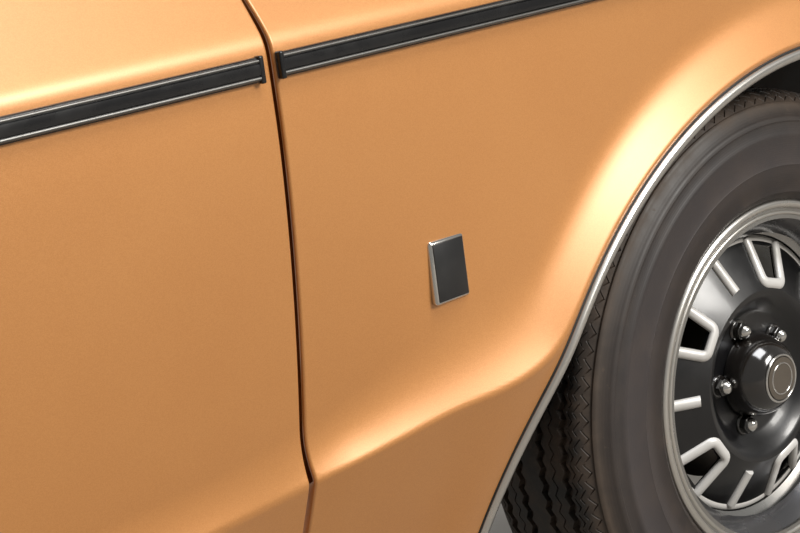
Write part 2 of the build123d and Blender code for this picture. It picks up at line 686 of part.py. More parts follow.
# Rubber and steel bearing under the turret, with the three studs that clamp it
with BuildPart() as strut_top_mount:
    with BuildSketch(Plane.XY.offset(TOWER_TOP_Z - TOWER_SHEET)):
        with Locations((STRUT_TOP.X, STRUT_TOP.Y)):
            Circle(62)
            Circle(ROD_RADIUS + 5, mode=Mode.SUBTRACT)
    extrude(amount=-14)
    with BuildSketch(Plane.XY.offset(TOWER_TOP_Z - TOWER_SHEET)):
        with Locations((STRUT_TOP.X, STRUT_TOP.Y)):
            with PolarLocations(MOUNT_STUD_CIRCLE, 3):
                Circle(MOUNT_STUD_RADIUS)
    extrude(amount=22)
    with BuildSketch(Plane.XY.offset(TOWER_TOP_Z)):
        with Locations((STRUT_TOP.X, STRUT_TOP.Y)):
            with PolarLocations(MOUNT_STUD_CIRCLE, 3):
                RegularPolygon(8, 6)
                Circle(MOUNT_STUD_RADIUS - 0.5, mode=Mode.SUBTRACT)
    extrude(amount=9)
finish(strut_top_mount.part, "strut_top_mount")

# Crossmember foot under the rail, with two cheeks for the lower arm
ARM_PIVOT_Y = 26.0
ARM_PIVOT_Z = -95.0
ARM_EYE_LENGTH = 50.0
ARM_EYE_RADIUS = 20.0
ARM_BOLT_RADIUS = 6.0
CHEEK_RADIUS = 24.0
CHEEK_SHEET = 6.0
with BuildPart() as arm_bracket:
    with BuildSketch(Plane.XY.offset(-rail_top)):
        with Locations((AXLE_X, RAIL_Y)):
            RectangleRounded(110, RAIL_WIDTH - 6, 6)
    extrude(amount=-CHEEK_SHEET)
    for cheek_x in (AXLE_X - ARM_EYE_LENGTH / 2 - CHEEK_SHEET, AXLE_X + ARM_EYE_LENGTH / 2):
        with BuildSketch(Plane.YZ.offset(cheek_x)):
            with BuildLine():
                Line((ARM_PIVOT_Y - CHEEK_RADIUS, ARM_PIVOT_Z), (RAIL_Y - 30, -rail_top - CHEEK_SHEET))
                Line((RAIL_Y - 30, -rail_top - CHEEK_SHEET), (RAIL_Y + 30, -rail_top - CHEEK_SHEET))
                Line((RAIL_Y + 30, -rail_top - CHEEK_SHEET), (ARM_PIVOT_Y + CHEEK_RADIUS, ARM_PIVOT_Z))
                ThreePointArc(
                    (ARM_PIVOT_Y + CHEEK_RADIUS, ARM_PIVOT_Z),
                    (ARM_PIVOT_Y, ARM_PIVOT_Z - CHEEK_RADIUS),
                    (ARM_PIVOT_Y - CHEEK_RADIUS, ARM_PIVOT_Z),
                )
            make_face()
        extrude(amount=CHEEK_SHEET)
    with BuildSketch(Plane.YZ.offset(AXLE_X - ARM_EYE_LENGTH / 2 - 14)):
        with Locations((ARM_PIVOT_Y, ARM_PIVOT_Z)):
            Circle(ARM_BOLT_RADIUS)
    extrude(amount=ARM_EYE_LENGTH + 28)
finish(arm_bracket.part, "arm_bracket")

# Lower arm: bush eye, tapered blade and the socket of the ball joint
with BuildPart() as lower_arm:
    with BuildSketch(Plane.YZ.offset(AXLE_X - ARM_EYE_LENGTH / 2)):
        with Locations((ARM_PIVOT_Y, ARM_PIVOT_Z)):
            Circle(ARM_EYE_RADIUS)
    extrude(amount=ARM_EYE_LENGTH)
    with BuildSketch(Plane.XY.offset(ARM_PIVOT_Z - 9)):
        with BuildLine():
            Polyline(
                (AXLE_X - 22, ARM_PIVOT_Y), (AXLE_X - 13, BALL.Y + 10), (AXLE_X + 13, BALL.Y + 10),
                (AXLE_X + 22, ARM_PIVOT_Y), (AXLE_X - 22, ARM_PIVOT_Y),
            )
        make_face()
    extrude(amount=14)
    with BuildSketch(Plane.XY.offset(BALL.Z - 17)):
        with Locations((BALL.X, BALL.Y)):
            Circle(23)
    extrude(amount=32)
    with Locations(BALL):
        Sphere(BALL_RADIUS + FIT, mode=Mode.SUBTRACT)
    with BuildSketch(Plane(origin=BALL, z_dir=STRUT_TOP - BALL)):
        Circle(11.5)
    extrude(amount=40, mode=Mode.SUBTRACT)
    with BuildSketch(Plane.YZ.offset(AXLE_X - ARM_EYE_LENGTH / 2)):
        with Locations((ARM_PIVOT_Y, ARM_PIVOT_Z)):
            Circle(ARM_BOLT_RADIUS)
    extrude(amount=ARM_EYE_LENGTH, mode=Mode.SUBTRACT)
finish(lower_arm.part, "lower_arm")

# Stay between the hinge pillar and the foot of the wing
with BuildPart() as wing_stay:
    with BuildSketch(Plane.XY.offset(-40)):
        with BuildLine():
            stay_rear, stay_front = PILLAR_X + 10, PILLAR_X + 70
            Polyline(
                (stay_rear, -300), (stay_rear, SIDE_Y), (stay_front, SIDE_Y), (stay_front, -300),
                (stay_rear, -300),
            )
        make_face()
    extrude(amount=PANEL)
    extrude(pillar_section(PILLAR_X, 0), amount=PILLAR_DEPTH, mode=Mode.SUBTRACT)
    add(wing_space.part, mode=Mode.INTERSECT)
finish(wing_stay.part, "wing_stay")

# Door hinges: a cranked leaf on the pillar, a leaf on the door and a loose pin
DOOR_BARREL_HEIGHT = HINGE_HEIGHT - 2 * BODY_KNUCKLE
neck_y = HINGE_Y + NECK_REACH
for place, height in HINGE_HEIGHTS.items():
    with BuildPart() as body_leaf:
        with BuildSketch(Plane.XY.offset(height)) as crank:
            with BuildLine():
                Polyline(
                    (HINGE_X - 3, HINGE_Y), (HINGE_X + 5, HINGE_Y), (HINGE_X + 6, neck_y - 14),
                    (HINGE_X + 14, neck_y - LEAF_SHEET), (PILLAR_X, neck_y - LEAF_SHEET), (PILLAR_X, neck_y),
                    (HINGE_X + 10, neck_y), (HINGE_X - 1, neck_y - 10), (HINGE_X - 3, HINGE_Y),
                )
            make_face()
            with Locations((HINGE_X, HINGE_Y)):
                Circle(HINGE_BARREL_RADIUS)
        extrude(amount=HINGE_HEIGHT / 2, both=True)
        with BuildSketch(Plane.XY.offset(height)):
            with Locations((HINGE_X, HINGE_Y)):
                Circle(HINGE_BARREL_RADIUS + 5)
        extrude(amount=DOOR_BARREL_HEIGHT / 2 + FIT, both=True, mode=Mode.SUBTRACT)
        with BuildSketch(Plane.XY.offset(height)):
            with Locations((HINGE_X, HINGE_Y)):
                Circle(HINGE_PIN_RADIUS)
        extrude(amount=HINGE_HEIGHT / 2, both=True, mode=Mode.SUBTRACT)
        with BuildSketch(Plane.YZ.offset(PILLAR_X)):
            with Locations((neck_y - LEAF_SHEET / 2, height)):
                RectangleRounded(50, HINGE_HEIGHT + 20, 6)
        extrude(amount=-5)
    finish(body_leaf.part, f"hinge_body_{place}")

    with BuildPart() as hinge_pin:
        with BuildSketch(Plane.XY.offset(height)):
            with Locations((HINGE_X, HINGE_Y)):
                Circle(HINGE_PIN_RADIUS)
        extrude(amount=HINGE_HEIGHT / 2 + 3, both=True)
        with BuildSketch(Plane.XY.offset(height + HINGE_HEIGHT / 2)):
            with Locations((HINGE_X, HINGE_Y)):
                Circle(HINGE_PIN_RADIUS + 3)
        extrude(amount=3)
    finish(hinge_pin.part, f"hinge_pin_{place}")

    with BuildPart() as door_leaf:
        with BuildSketch(Plane.XY.offset(height)):
            with Locations((HINGE_X, HINGE_Y)):
                Circle(HINGE_BARREL_RADIUS)
            with BuildLine():
                Polyline(
                    (HINGE_X, HINGE_Y - 5), (HINGE_X, HINGE_Y + 5), (TRAY_FRONT_X, HINGE_Y + 14),
                    (TRAY_FRONT_X, HINGE_Y - 5), (HINGE_X, HINGE_Y - 5),
                )
            make_face()
            with Locations((HINGE_X, HINGE_Y)):
                Circle(HINGE_PIN_RADIUS + FIT, mode=Mode.SUBTRACT)
        extrude(amount=DOOR_BARREL_HEIGHT / 2, both=True)
        with BuildSketch(Plane.YZ.offset(TRAY_FRONT_X)):
            with Locations((HINGE_Y + 32, height)):
                RectangleRounded(70, HINGE_HEIGHT + 16, 6)
        extrude(amount=4)
    finish(door_leaf.part, f"hinge_door_{place}")

# Door: outer sheet, pressed inner tray with service holes, window frame and glass
with BuildPart() as door_skin:
    add(door_block.part)
    add(door_space.part, mode=Mode.SUBTRACT)
finish(door_skin.part, "door_skin")

tray_middle = (TRAY_FRONT_X + TRAY_REAR_X) / 2
tray_length = TRAY_FRONT_X - TRAY_REAR_X
TRAY_SHEET = 1.5
# Service holes of the tray: place along the car, height, length, height and corner
TRAY_HOLES = (
    (-300, 130, 260, 220, 40), (-740, 130, 380, 220, 40),
    (-300, 430, 220, 120, 30), (-820, 430, 220, 120, 30),
)
with BuildPart() as door_tray:
    with BuildSketch(Plane.XZ.offset(-TRAY_Y)):
        with Locations((tray_middle, (TRAY_BOTTOM_Z + SILL_Z - 5) / 2)):
            Rectangle(tray_length, SILL_Z - 5 - TRAY_BOTTOM_Z)
    extrude(amount=200)
    fillet(door_tray.edges().filter_by(Axis.Y).group_by(Axis.Z)[0], radius=40)
    with BuildSketch(Plane.XZ.offset(-TRAY_Y + TRAY_SHEET)):
        with Locations((tray_middle, (TRAY_BOTTOM_Z + SILL_Z) / 2 + OVERRUN)):
            Rectangle(tray_length - 2 * TRAY_SHEET, SILL_Z + 2 * OVERRUN - TRAY_BOTTOM_Z - 2 * TRAY_SHEET)
    extrude(amount=200, mode=Mode.SUBTRACT)
    add(door_space.part, mode=Mode.INTERSECT)
    with BuildSketch(Plane.XZ.offset(-TRAY_Y)):
        for hole_x, hole_z, hole_length, hole_height, corner in TRAY_HOLES:
            with Locations((hole_x, hole_z)):
                RectangleRounded(hole_length, hole_height, corner)
    extrude(amount=TRAY_SHEET, mode=Mode.SUBTRACT)
finish(door_tray.part, "door_inner_panel")

lean = math.radians(FRAME_LEAN)
frame_plane = Plane(
    origin=(0, SILL_Y + 6, SILL_Z), x_dir=(1, 0, 0), z_dir=(0, -math.cos(lean), math.sin(lean))
)
glass_plane = frame_plane.offset(-(FRAME_DEPTH - GLASS_THICKNESS) / 2)
FRAME_FRONT_X = TRAY_FRONT_X - TRAY_SHEET
FRAME_REAR_X = TRAY_REAR_X + TRAY_SHEET
FRAME_SLOPE_X = -395.0
FRAME_BAR = 34.0
FRAME_FOOT = -70.0


def window_outline(margin, foot):
    """Outline of the side window on its leaning plane, smaller than the frame by the margin."""
    rake = 1.25 * margin
    with BuildSketch(mode=Mode.PRIVATE) as outline:
        with BuildLine():
            Polyline(
                (FRAME_FRONT_X - 1.7 * margin, foot), (FRAME_FRONT_X - 1.7 * margin, 15),
                (FRAME_FRONT_X + FRAME_SLOPE_X - rake + margin, FRAME_TOP - margin),
                (FRAME_REAR_X + margin, FRAME_TOP - margin), (FRAME_REAR_X + margin, foot),
                (FRAME_FRONT_X - 1.7 * margin, foot),
            )
        make_face()
        fillet(outline.vertices().group_by(Axis.Y)[-1], radius=44 - margin)
    return outline.sketch


with BuildPart() as door_frame:
    with BuildSketch(frame_plane):
        add(window_outline(0, FRAME_FOOT))
        add(window_outline(FRAME_BAR, FRAME_FOOT - 10), mode=Mode.SUBTRACT)
    extrude(amount=-FRAME_DEPTH)
finish(door_frame.part, "door_frame")

with BuildPart() as door_glass:
    with BuildSketch(glass_plane):
        add(window_outline(FRAME_BAR, FRAME_FOOT + 30))
    extrude(amount=-GLASS_THICKNESS)
finish(door_glass.part, "door_glass")

# Trim card on the inner panel, with armrest, window winder and release handle
with BuildPart() as door_card:
    with BuildSketch(Plane.XZ.offset(-TRAY_Y - CARD_THICKNESS)):
        with Locations((tray_middle, (TRAY_BOTTOM_Z + SILL_Z) / 2)):
            RectangleRounded(tray_length - 20, SILL_Z - TRAY_BOTTOM_Z - 30, 35)
    extrude(amount=CARD_THICKNESS)
    fillet(door_card.faces().sort_by(Axis.Y)[-1].edges(), radius=2)
finish(door_card.part, "door_card")

card_y = TRAY_Y + CARD_THICKNESS
ARMREST_X = -700.0
ARMREST_Z = 300.0
ARMREST_LENGTH = 330.0
ARMREST_HEIGHT = 46.0
ARMREST_DEPTH = 55.0
with BuildPart() as armrest:
    with BuildSketch(Plane.XZ.offset(-card_y - ARMREST_DEPTH)):
        with Locations((ARMREST_X, ARMREST_Z)):
            RectangleRounded(ARMREST_LENGTH, ARMREST_HEIGHT, 16)
    extrude(amount=ARMREST_DEPTH)
    fillet(armrest.faces().sort_by(Axis.Y)[-1].edges(), radius=10)
finish(armrest.part, "door_armrest")

WINDER_X = -300.0
WINDER_Z = 280.0
WINDER_BOSS = 14.0
WINDER_ARM = 8.0
WINDER_ARM_LENGTH = 120.0
WINDER_KNOB = 28.0
with BuildPart() as winder:
    with BuildSketch(Plane.XZ.offset(-card_y)):
        with Locations((WINDER_X, WINDER_Z)):
            Circle(24)
    extrude(amount=-WINDER_BOSS)
    with BuildSketch(Plane.XZ.offset(-card_y - WINDER_BOSS)):
        with Locations((WINDER_X + 15 - WINDER_ARM_LENGTH / 2, WINDER_Z)):
            SlotOverall(WINDER_ARM_LENGTH, 20)
    extrude(amount=-WINDER_ARM)
    with BuildSketch(Plane.XZ.offset(-card_y - WINDER_BOSS - WINDER_ARM)):
        with Locations((WINDER_X + 28 - WINDER_ARM_LENGTH, WINDER_Z)):
            Circle(11)
    extrude(amount=-WINDER_KNOB)
    fillet(winder.faces().sort_by(Axis.Y)[-1].edges(), radius=4)
finish(winder.part, "window_winder")

RELEASE_X = -330.0
RELEASE_Z = 450.0
RELEASE_LENGTH = 90.0
RELEASE_PLATE = 8.0
RELEASE_LEVER = 14.0
with BuildPart() as release:
    with BuildSketch(Plane.XZ.offset(-card_y)):
        with Locations((RELEASE_X, RELEASE_Z)):
            RectangleRounded(RELEASE_LENGTH, RELEASE_LENGTH / 2 - 1, 10)
    extrude(amount=-RELEASE_PLATE)
    with BuildSketch(Plane.XZ.offset(-card_y - RELEASE_PLATE)):
        with Locations((RELEASE_X - 8, RELEASE_Z)):
            SlotOverall(RELEASE_LENGTH - 30, 16)
    extrude(amount=-RELEASE_LEVER)
finish(release.part, "door_release")

# Outside pull handle with two feet on the sheet
HANDLE_X = -925.0
HANDLE_Z = 408.0
HANDLE_LENGTH = 156.0
HANDLE_HEIGHT = 22.0
HANDLE_STAND = 22.0
HANDLE_GRIP = 10.0
with BuildPart() as door_handle:
    foot_reach = HANDLE_LENGTH / 2 - 20
    for foot_x in (HANDLE_X - foot_reach, HANDLE_X + foot_reach):
        with BuildSketch(Plane.XZ.offset(-SIDE_Y - 8)):
            with Locations((foot_x, HANDLE_Z)):
                RectangleRounded(28, HANDLE_HEIGHT + 2, 8)
        extrude(amount=HANDLE_STAND + 12)
    with BuildSketch(Plane.XZ.offset(-SIDE_Y + HANDLE_STAND)):
        with Locations((HANDLE_X, HANDLE_Z)):
            RectangleRounded(HANDLE_LENGTH, HANDLE_HEIGHT, 9)
    extrude(amount=HANDLE_GRIP)
    fillet(door_handle.faces().sort_by(Axis.Y)[0].edges(), radius=4)
    add(door_block.part, mode=Mode.SUBTRACT)
finish(door_handle.part, "door_handle")

# Bright strip along the sill of the window
with BuildPart() as sill_strip:
    with BuildSketch(Plane.YZ.offset(TRAY_REAR_X)):
        with BuildLine():
            Polyline(
                (SILL_Y - 10, SILL_Z), (SILL_Y - 8, SILL_Z + 6), (SILL_Y + 4, SILL_Z + 7),
                (SILL_Y + 3, SILL_Z), (SILL_Y - 10, SILL_Z),
            )
        make_face()
    extrude(amount=tray_length)
    add(door_block.part, mode=Mode.SUBTRACT)
    add(door_frame.part, mode=Mode.SUBTRACT)
finish(sill_strip.part, "sill_strip")

# Rim: drop-centre section with J-shaped flanges
rim_inner_y = RIM_FACE_Y + RIM_WIDTH
seat_in = BEAD_RADIUS - RIM_SHEET
well_in = WELL_RADIUS - RIM_SHEET
with BuildPart() as rim:
    with BuildSketch(Plane.YZ.offset(AXLE_X)):
        with BuildLine():
            Polyline(
                (RIM_FACE_Y, RIM_RADIUS), (RIM_FACE_Y + RIM_SHEET, RIM_RADIUS),
                (RIM_FACE_Y + RIM_SHEET, BEAD_RADIUS), (RIM_FACE_Y + 34, BEAD_RADIUS),
                (RIM_FACE_Y + 44, WELL_RADIUS), (RIM_FACE_Y + 74, WELL_RADIUS),
                (RIM_FACE_Y + 84, BEAD_RADIUS),
                (rim_inner_y - RIM_SHEET, BEAD_RADIUS), (rim_inner_y - RIM_SHEET, RIM_RADIUS),
                (rim_inner_y, RIM_RADIUS), (rim_inner_y, seat_in), (RIM_FACE_Y + 85.5, seat_in),
                (RIM_FACE_Y + 75.5, well_in), (RIM_FACE_Y + 42.5, well_in), (RIM_FACE_Y + 32.5, seat_in),
                (RIM_FACE_Y, seat_in), (RIM_FACE_Y, RIM_RADIUS),
            )
        make_face()
    revolve(axis=AXLE)
finish(rim.part, "rim")

# Bright ring clipped over the outer flange of the rim
with BuildPart() as trim_ring:
    with BuildSketch(Plane.YZ.offset(AXLE_X)):
        with BuildLine():
            Line((RIM_FACE_Y, RIM_RADIUS), (RIM_FACE_Y, 172))
            Polyline(
                (RIM_FACE_Y, 172), (RIM_FACE_Y + 24, 160), (RIM_FACE_Y + 22, 158),
                (RIM_FACE_Y - 4, 169), (RIM_FACE_Y - 6, 174), (RIM_FACE_Y - 3, 180),
                (RIM_FACE_Y - 4.5, 189), (RIM_FACE_Y, RIM_RADIUS),
            )
        make_face()
    revolve(axis=AXLE)
finish(trim_ring.part, "rim_trim_ring")

# Wheel disc: crowned pressing that falls inboard to the well, with framed windows, ribs and nut seats
DISC_SHEET = 3.5
DISH_Y = RIM_FACE_Y + 17
CROWN_RADIUS = 96.0
WINDOW_FOOT = 104.0
WINDOW_TOP = 143.0
FRAME_RAISE = 3.0
SEAT_RISE = 3.0
SEAT_RADIUS = 12.0
STUD_RADIUS = 6.0
slope_foot_y = RIM_FACE_Y + 43
slope_radius = well_in - 6
with BuildPart() as disc_frames:
    with BuildSketch(Plane.YZ.offset(AXLE_X)):
        with BuildLine():
            Polyline(
                (DISH_Y + 1, CROWN_RADIUS - 4), (DISH_Y - FRAME_RAISE, CROWN_RADIUS - 3),
                (slope_foot_y - FRAME_RAISE, slope_radius + 2), (slope_foot_y + 1, slope_radius + 2),
                (DISH_Y + 1, CROWN_RADIUS - 4),
            )
        make_face()
    revolve(axis=AXLE)
    with BuildSketch(Plane.XZ.offset(-slope_foot_y - 2 * FRAME_RAISE)):
        with Locations((AXLE_X, 0)):
            Circle(slope_radius + 2)
            Circle(WINDOW_TOP, mode=Mode.SUBTRACT)
            with PolarLocations(0, BOLT_COUNT, start_angle=WINDOW_ANGLE):
                Polygon((93, -22), (93, 22), (WINDOW_TOP + 1, 29), (WINDOW_TOP + 1, -29), align=None)
            with PolarLocations(0, BOLT_COUNT, start_angle=RIB_ANGLE):
                Polygon((98, -5.5), (98, 5.5), (WINDOW_TOP + 1, 6.5), (WINDOW_TOP + 1, -6.5), align=None)
    extrude(amount=60, both=True, mode=Mode.INTERSECT)

with BuildPart() as wheel_disc:
    with BuildSketch(Plane.YZ.offset(AXLE_X)):
        with BuildLine():
            Polyline(
                (HUB_FACE_Y, 30), (HUB_FACE_Y - DISC_SHEET, 30), (HUB_FACE_Y - DISC_SHEET, 70),
                (DISH_Y + 2, 86), (DISH_Y, CROWN_RADIUS), (slope_foot_y, slope_radius),
                (RIM_FACE_Y + 47, well_in), (RIM_FACE_Y + 62, well_in),
                (RIM_FACE_Y + 62, well_in - DISC_SHEET),
                (RIM_FACE_Y + 49, well_in - DISC_SHEET), (slope_foot_y + DISC_SHEET, slope_radius - 2),
                (DISH_Y + DISC_SHEET + 1, CROWN_RADIUS - 1), (DISH_Y + DISC_SHEET + 2, 88),
                (HUB_FACE_Y, 74), (HUB_FACE_Y, 30),
            )
        make_face()
    revolve(axis=AXLE)
    add(disc_frames.part)
    with BuildSketch(Plane.XZ.offset(-HUB_FACE_Y)):
        with Locations((AXLE_X, 0)):
            with PolarLocations(BOLT_CIRCLE / 2, BOLT_COUNT, start_angle=BOLT_ANGLE):
                Circle(SEAT_RADIUS)
    extrude(amount=DISC_SHEET + SEAT_RISE)
    with BuildSketch(Plane.XZ.offset(-HUB_FACE_Y + 12)):
        with Locations((AXLE_X, 0)):
            with PolarLocations(0, BOLT_COUNT, start_angle=WINDOW_ANGLE):
                window = ((WINDOW_FOOT, 12.5), (WINDOW_TOP, 17), (WINDOW_TOP, -17), (WINDOW_FOOT, -12.5))
                Polygon(*window, align=None)
    extrude(amount=60, mode=Mode.SUBTRACT)
    with BuildSketch(Plane.XZ.offset(-HUB_FACE_Y - 20)):
        with Locations((AXLE_X, 0)):
            with PolarLocations(BOLT_CIRCLE / 2, BOLT_COUNT, start_angle=BOLT_ANGLE):
                Circle(STUD_RADIUS + 0.5)
    extrude(amount=60, mode=Mode.SUBTRACT)
finish(wheel_disc.part, "wheel_disc")

# Five domed nuts on the studs of the hub
NUT_RADIUS = 10.5
NUT_HEIGHT = 11.0
nut_seat = HUB_FACE_Y - DISC_SHEET - SEAT_RISE
with BuildPart() as wheel_nuts:
    with BuildSketch(Plane.XZ.offset(-nut_seat)):
        with Locations((AXLE_X, 0)):
            with PolarLocations(BOLT_CIRCLE / 2, BOLT_COUNT, start_angle=BOLT_ANGLE):
                RegularPolygon(NUT_RADIUS, 6)
    extrude(amount=NUT_HEIGHT)
    with BuildSketch(Plane.XZ.offset(-nut_seat + NUT_HEIGHT)):
        with Locations((AXLE_X, 0)):
            with PolarLocations(BOLT_CIRCLE / 2, BOLT_COUNT, start_angle=BOLT_ANGLE):
                Circle(NUT_RADIUS - 2)
    extrude(amount=7, taper=25)
finish(wheel_nuts.part, "wheel_nuts")

# Centre cap pushed into the bore of the wheel disc
CAP_RADIUS = 40.0
with BuildPart() as centre_cap:
    with BuildSketch(Plane.YZ.offset(AXLE_X)):
        with BuildLine():
            cap_foot = HUB_FACE_Y - DISC_SHEET
            Polyline(
                (cap_foot, 0), (cap_foot, CAP_RADIUS), (cap_foot - 10, CAP_RADIUS),
                (cap_foot - 28, CAP_RADIUS - 4), (RIM_FACE_Y - 4, 27),
                (RIM_FACE_Y - 8, 24), (RIM_FACE_Y - 8, 0), (cap_foot, 0),
            )
        make_face()
    revolve(axis=AXLE)
finish(centre_cap.part, "centre_cap")

# Tyre: hollow section with beads on the rim seats
tyre_y = RIM_FACE_Y + RIM_WIDTH / 2
bead_half = RIM_WIDTH / 2 - RIM_SHEET
with BuildPart() as tyre:
    with BuildSketch(Plane.YZ.offset(AXLE_X)):
        with BuildLine():
            outer_wall = (
                (bead_half, BEAD_RADIUS), (bead_half, RIM_RADIUS + 2), (TYRE_HALF_WIDTH - 3, 222),
                (TYRE_HALF_WIDTH, 246), (TYRE_HALF_WIDTH - 3, 272), (TREAD_HALF_WIDTH + 6, TYRE_RADIUS - 18),
                (TREAD_HALF_WIDTH, TYRE_RADIUS - 7), (TREAD_HALF_WIDTH / 2, TYRE_RADIUS),
            )
            inner_wall = (
                (TREAD_HALF_WIDTH - 4, TYRE_RADIUS - 24), (TYRE_HALF_WIDTH - TYRE_WALL, 246),
                (bead_half - TYRE_WALL, RIM_RADIUS), (bead_half - TYRE_WALL, BEAD_RADIUS),
            )
            right = [(tyre_y + half, radius) for half, radius in outer_wall]
            left = [(tyre_y - half, radius) for half, radius in reversed(outer_wall)]
            inner_left = [(tyre_y - half, radius) for half, radius in reversed(inner_wall)]
            inner_right = [(tyre_y + half, radius) for half, radius in inner_wall]
            Polyline(*right, *left, *inner_left, *inner_right, right[0])
        make_face()
    revolve(axis=AXLE)
finish(tyre.part, "tyre")

# Hub with its flange and five studs, turning on the spindle
hub_back = KNUCKLE_FACE_Y - 6
with BuildPart() as hub:
    with BuildSketch(Plane.XZ.offset(-HUB_FACE_Y - 10)):
        with Locations((AXLE_X, 0)):
            Circle(HUB_RADIUS)
    extrude(amount=10)
    with BuildSketch(Plane.XZ.offset(-hub_back)):
        with Locations((AXLE_X, 0)):
            Circle(33)
    extrude(amount=hub_back - HUB_FACE_Y)
    with BuildSketch(Plane.XZ.offset(-HUB_FACE_Y)):
        with Locations((AXLE_X, 0)):
            with PolarLocations(BOLT_CIRCLE / 2, BOLT_COUNT, start_angle=BOLT_ANGLE):
                Circle(STUD_RADIUS)
    extrude(amount=HUB_FACE_Y - nut_seat)
    with BuildSketch(Plane.XZ.offset(-hub_back)):
        with Locations((AXLE_X, 0)):
            Circle(SPINDLE_RADIUS + FIT)
    extrude(amount=hub_back - HUB_FACE_Y - 4, mode=Mode.SUBTRACT)
finish(hub.part, "hub")

# Brake disc with its hat behind the hub flange
HAT_RADIUS = 78.0
HAT_BORE = 34.0
with BuildPart() as brake_disc:
    with BuildSketch(Plane.YZ.offset(AXLE_X)):
        with BuildLine():
            hat_y = HUB_FACE_Y + 10
            Polyline(
                (hat_y, HAT_BORE), (hat_y, HAT_RADIUS), (DISC_Y, HAT_RADIUS), (DISC_Y, DISC_RADIUS),
                (DISC_Y + DISC_THICKNESS, DISC_RADIUS), (DISC_Y + DISC_THICKNESS, HAT_RADIUS - 6),
                (hat_y + 6, HAT_RADIUS - 6), (hat_y + 6, HAT_BORE), (hat_y, HAT_BORE),
            )
        make_face()
    revolve(axis=AXLE)
finish(brake_disc.part, "brake_disc")

# Knuckle: spindle, carrier plate, strut clamp, ball stud lug and steering arm
strut_plane = Plane(origin=STRUT_FOOT, x_dir=(1, 0, 0), z_dir=STRUT_TOP - STRUT_FOOT)
steer_plane = Plane(origin=BALL, x_dir=(1, 0, 0), z_dir=STRUT_TOP - BALL)
knuckle_back = KNUCKLE_FACE_Y + KNUCKLE_THICKNESS
CALIPER_ANGLE = 172.0
ARM_REACH = 132.0
CLAMP_RADIUS = STRUT_RADIUS + 8
with BuildPart() as knuckle:
    with BuildSketch(Plane.XZ.offset(-knuckle_back)):
        with Locations((AXLE_X, 0)):
            Circle(46)
            Rectangle(44, 84, align=(Align.CENTER, Align.MAX))
            with PolarLocations(0, 1, start_angle=CALIPER_ANGLE):
                Polygon((30, -30), (30, 30), (112, 22), (112, -22), align=None)
    extrude(amount=KNUCKLE_THICKNESS)
    with BuildSketch(Plane.XZ.offset(-KNUCKLE_FACE_Y)):
        with Locations((AXLE_X, 0)):
            Circle(SPINDLE_RADIUS)
    extrude(amount=KNUCKLE_FACE_Y - HUB_FACE_Y - 8)
    with BuildSketch(Plane.XZ.offset(-STRUT_FOOT.Y)):
        with Locations((AXLE_X, 10)):
            Rectangle(52, 76)
    extrude(amount=STRUT_FOOT.Y - knuckle_back)
    with BuildSketch(strut_plane.offset(-34)):
        Circle(CLAMP_RADIUS)
    extrude(amount=90)
    with BuildSketch(Plane.XY.offset(BALL.Z + 24)):
        with Locations((BALL.X, BALL.Y - 3)):
            RectangleRounded(36, 44, 8)
    extrude(amount=34)
    with BuildSketch(Plane.XZ.offset(-knuckle_back)):
        with BuildLine():
            Polyline(
                (AXLE_X - 20, -14), (AXLE_X - ARM_REACH, -52), (AXLE_X - ARM_REACH, -72),
                (AXLE_X - 20, -44), (AXLE_X - 20, -14),
            )
        make_face()
    extrude(amount=-22)
    with BuildSketch(Plane.XY.offset(-74)):
        with Locations((AXLE_X - ARM_REACH + 4, knuckle_back + 11)):
            Circle(15)
    extrude(amount=26)
    with BuildSketch(strut_plane.offset(-40)):
        Circle(STRUT_RADIUS)
    extrude(amount=120, mode=Mode.SUBTRACT)
finish(knuckle.part, "knuckle")

with BuildPart() as ball_stud:
    with BuildSketch(Plane.XZ.offset(-BALL.Y)):
        with BuildLine():
            half_round = [
                (BALL.X + BALL_RADIUS * math.sin(turn), BALL.Z - BALL_RADIUS * math.cos(turn))
                for turn in (math.pi * step / BALL_STEPS for step in range(BALL_STEPS + 1))
            ]
            Polyline(*half_round, half_round[0])
        make_face()
    revolve(axis=Axis(BALL, (0, 0, 1)))
    with BuildSketch(steer_plane):
        Circle(7)
    extrude(amount=40)
    add(knuckle.part, mode=Mode.SUBTRACT)
finish(ball_stud.part, "ball_stud")

# Strut: tube with its spring seats, the rod and the coil spring
with BuildPart() as strut_tube:
    with BuildSketch(strut_plane.offset(-34)):
        Circle(STRUT_RADIUS)
    extrude(amount=SPRING_LOW + 20)
    with BuildSketch(strut_plane.offset(SPRING_LOW - 14)):
        Circle(STRUT_RADIUS + 2)
    extrude(amount=8)
    with BuildSketch(strut_plane.offset(SPRING_LOW - 8)):
        Circle(SPRING_SEAT_RADIUS)
    extrude(amount=2)
    with BuildSketch(strut_plane.offset(SPRING_LOW + 6)):
        Circle(ROD_RADIUS)
    extrude(amount=30, mode=Mode.SUBTRACT)
finish(strut_tube.part, "strut_tube")

with BuildPart() as strut_rod:
    with BuildSketch(strut_plane.offset(SPRING_LOW + 6)):
        Circle(ROD_RADIUS)
    extrude(amount=(STRUT_TOP - STRUT_FOOT).length - SPRING_LOW + 12)
    with BuildSketch(strut_plane.offset(SPRING_HIGH + SPRING_WIRE)):
        Circle(SPRING_SEAT_RADIUS)
    extrude(amount=3)
finish(strut_rod.part, "strut_rod")

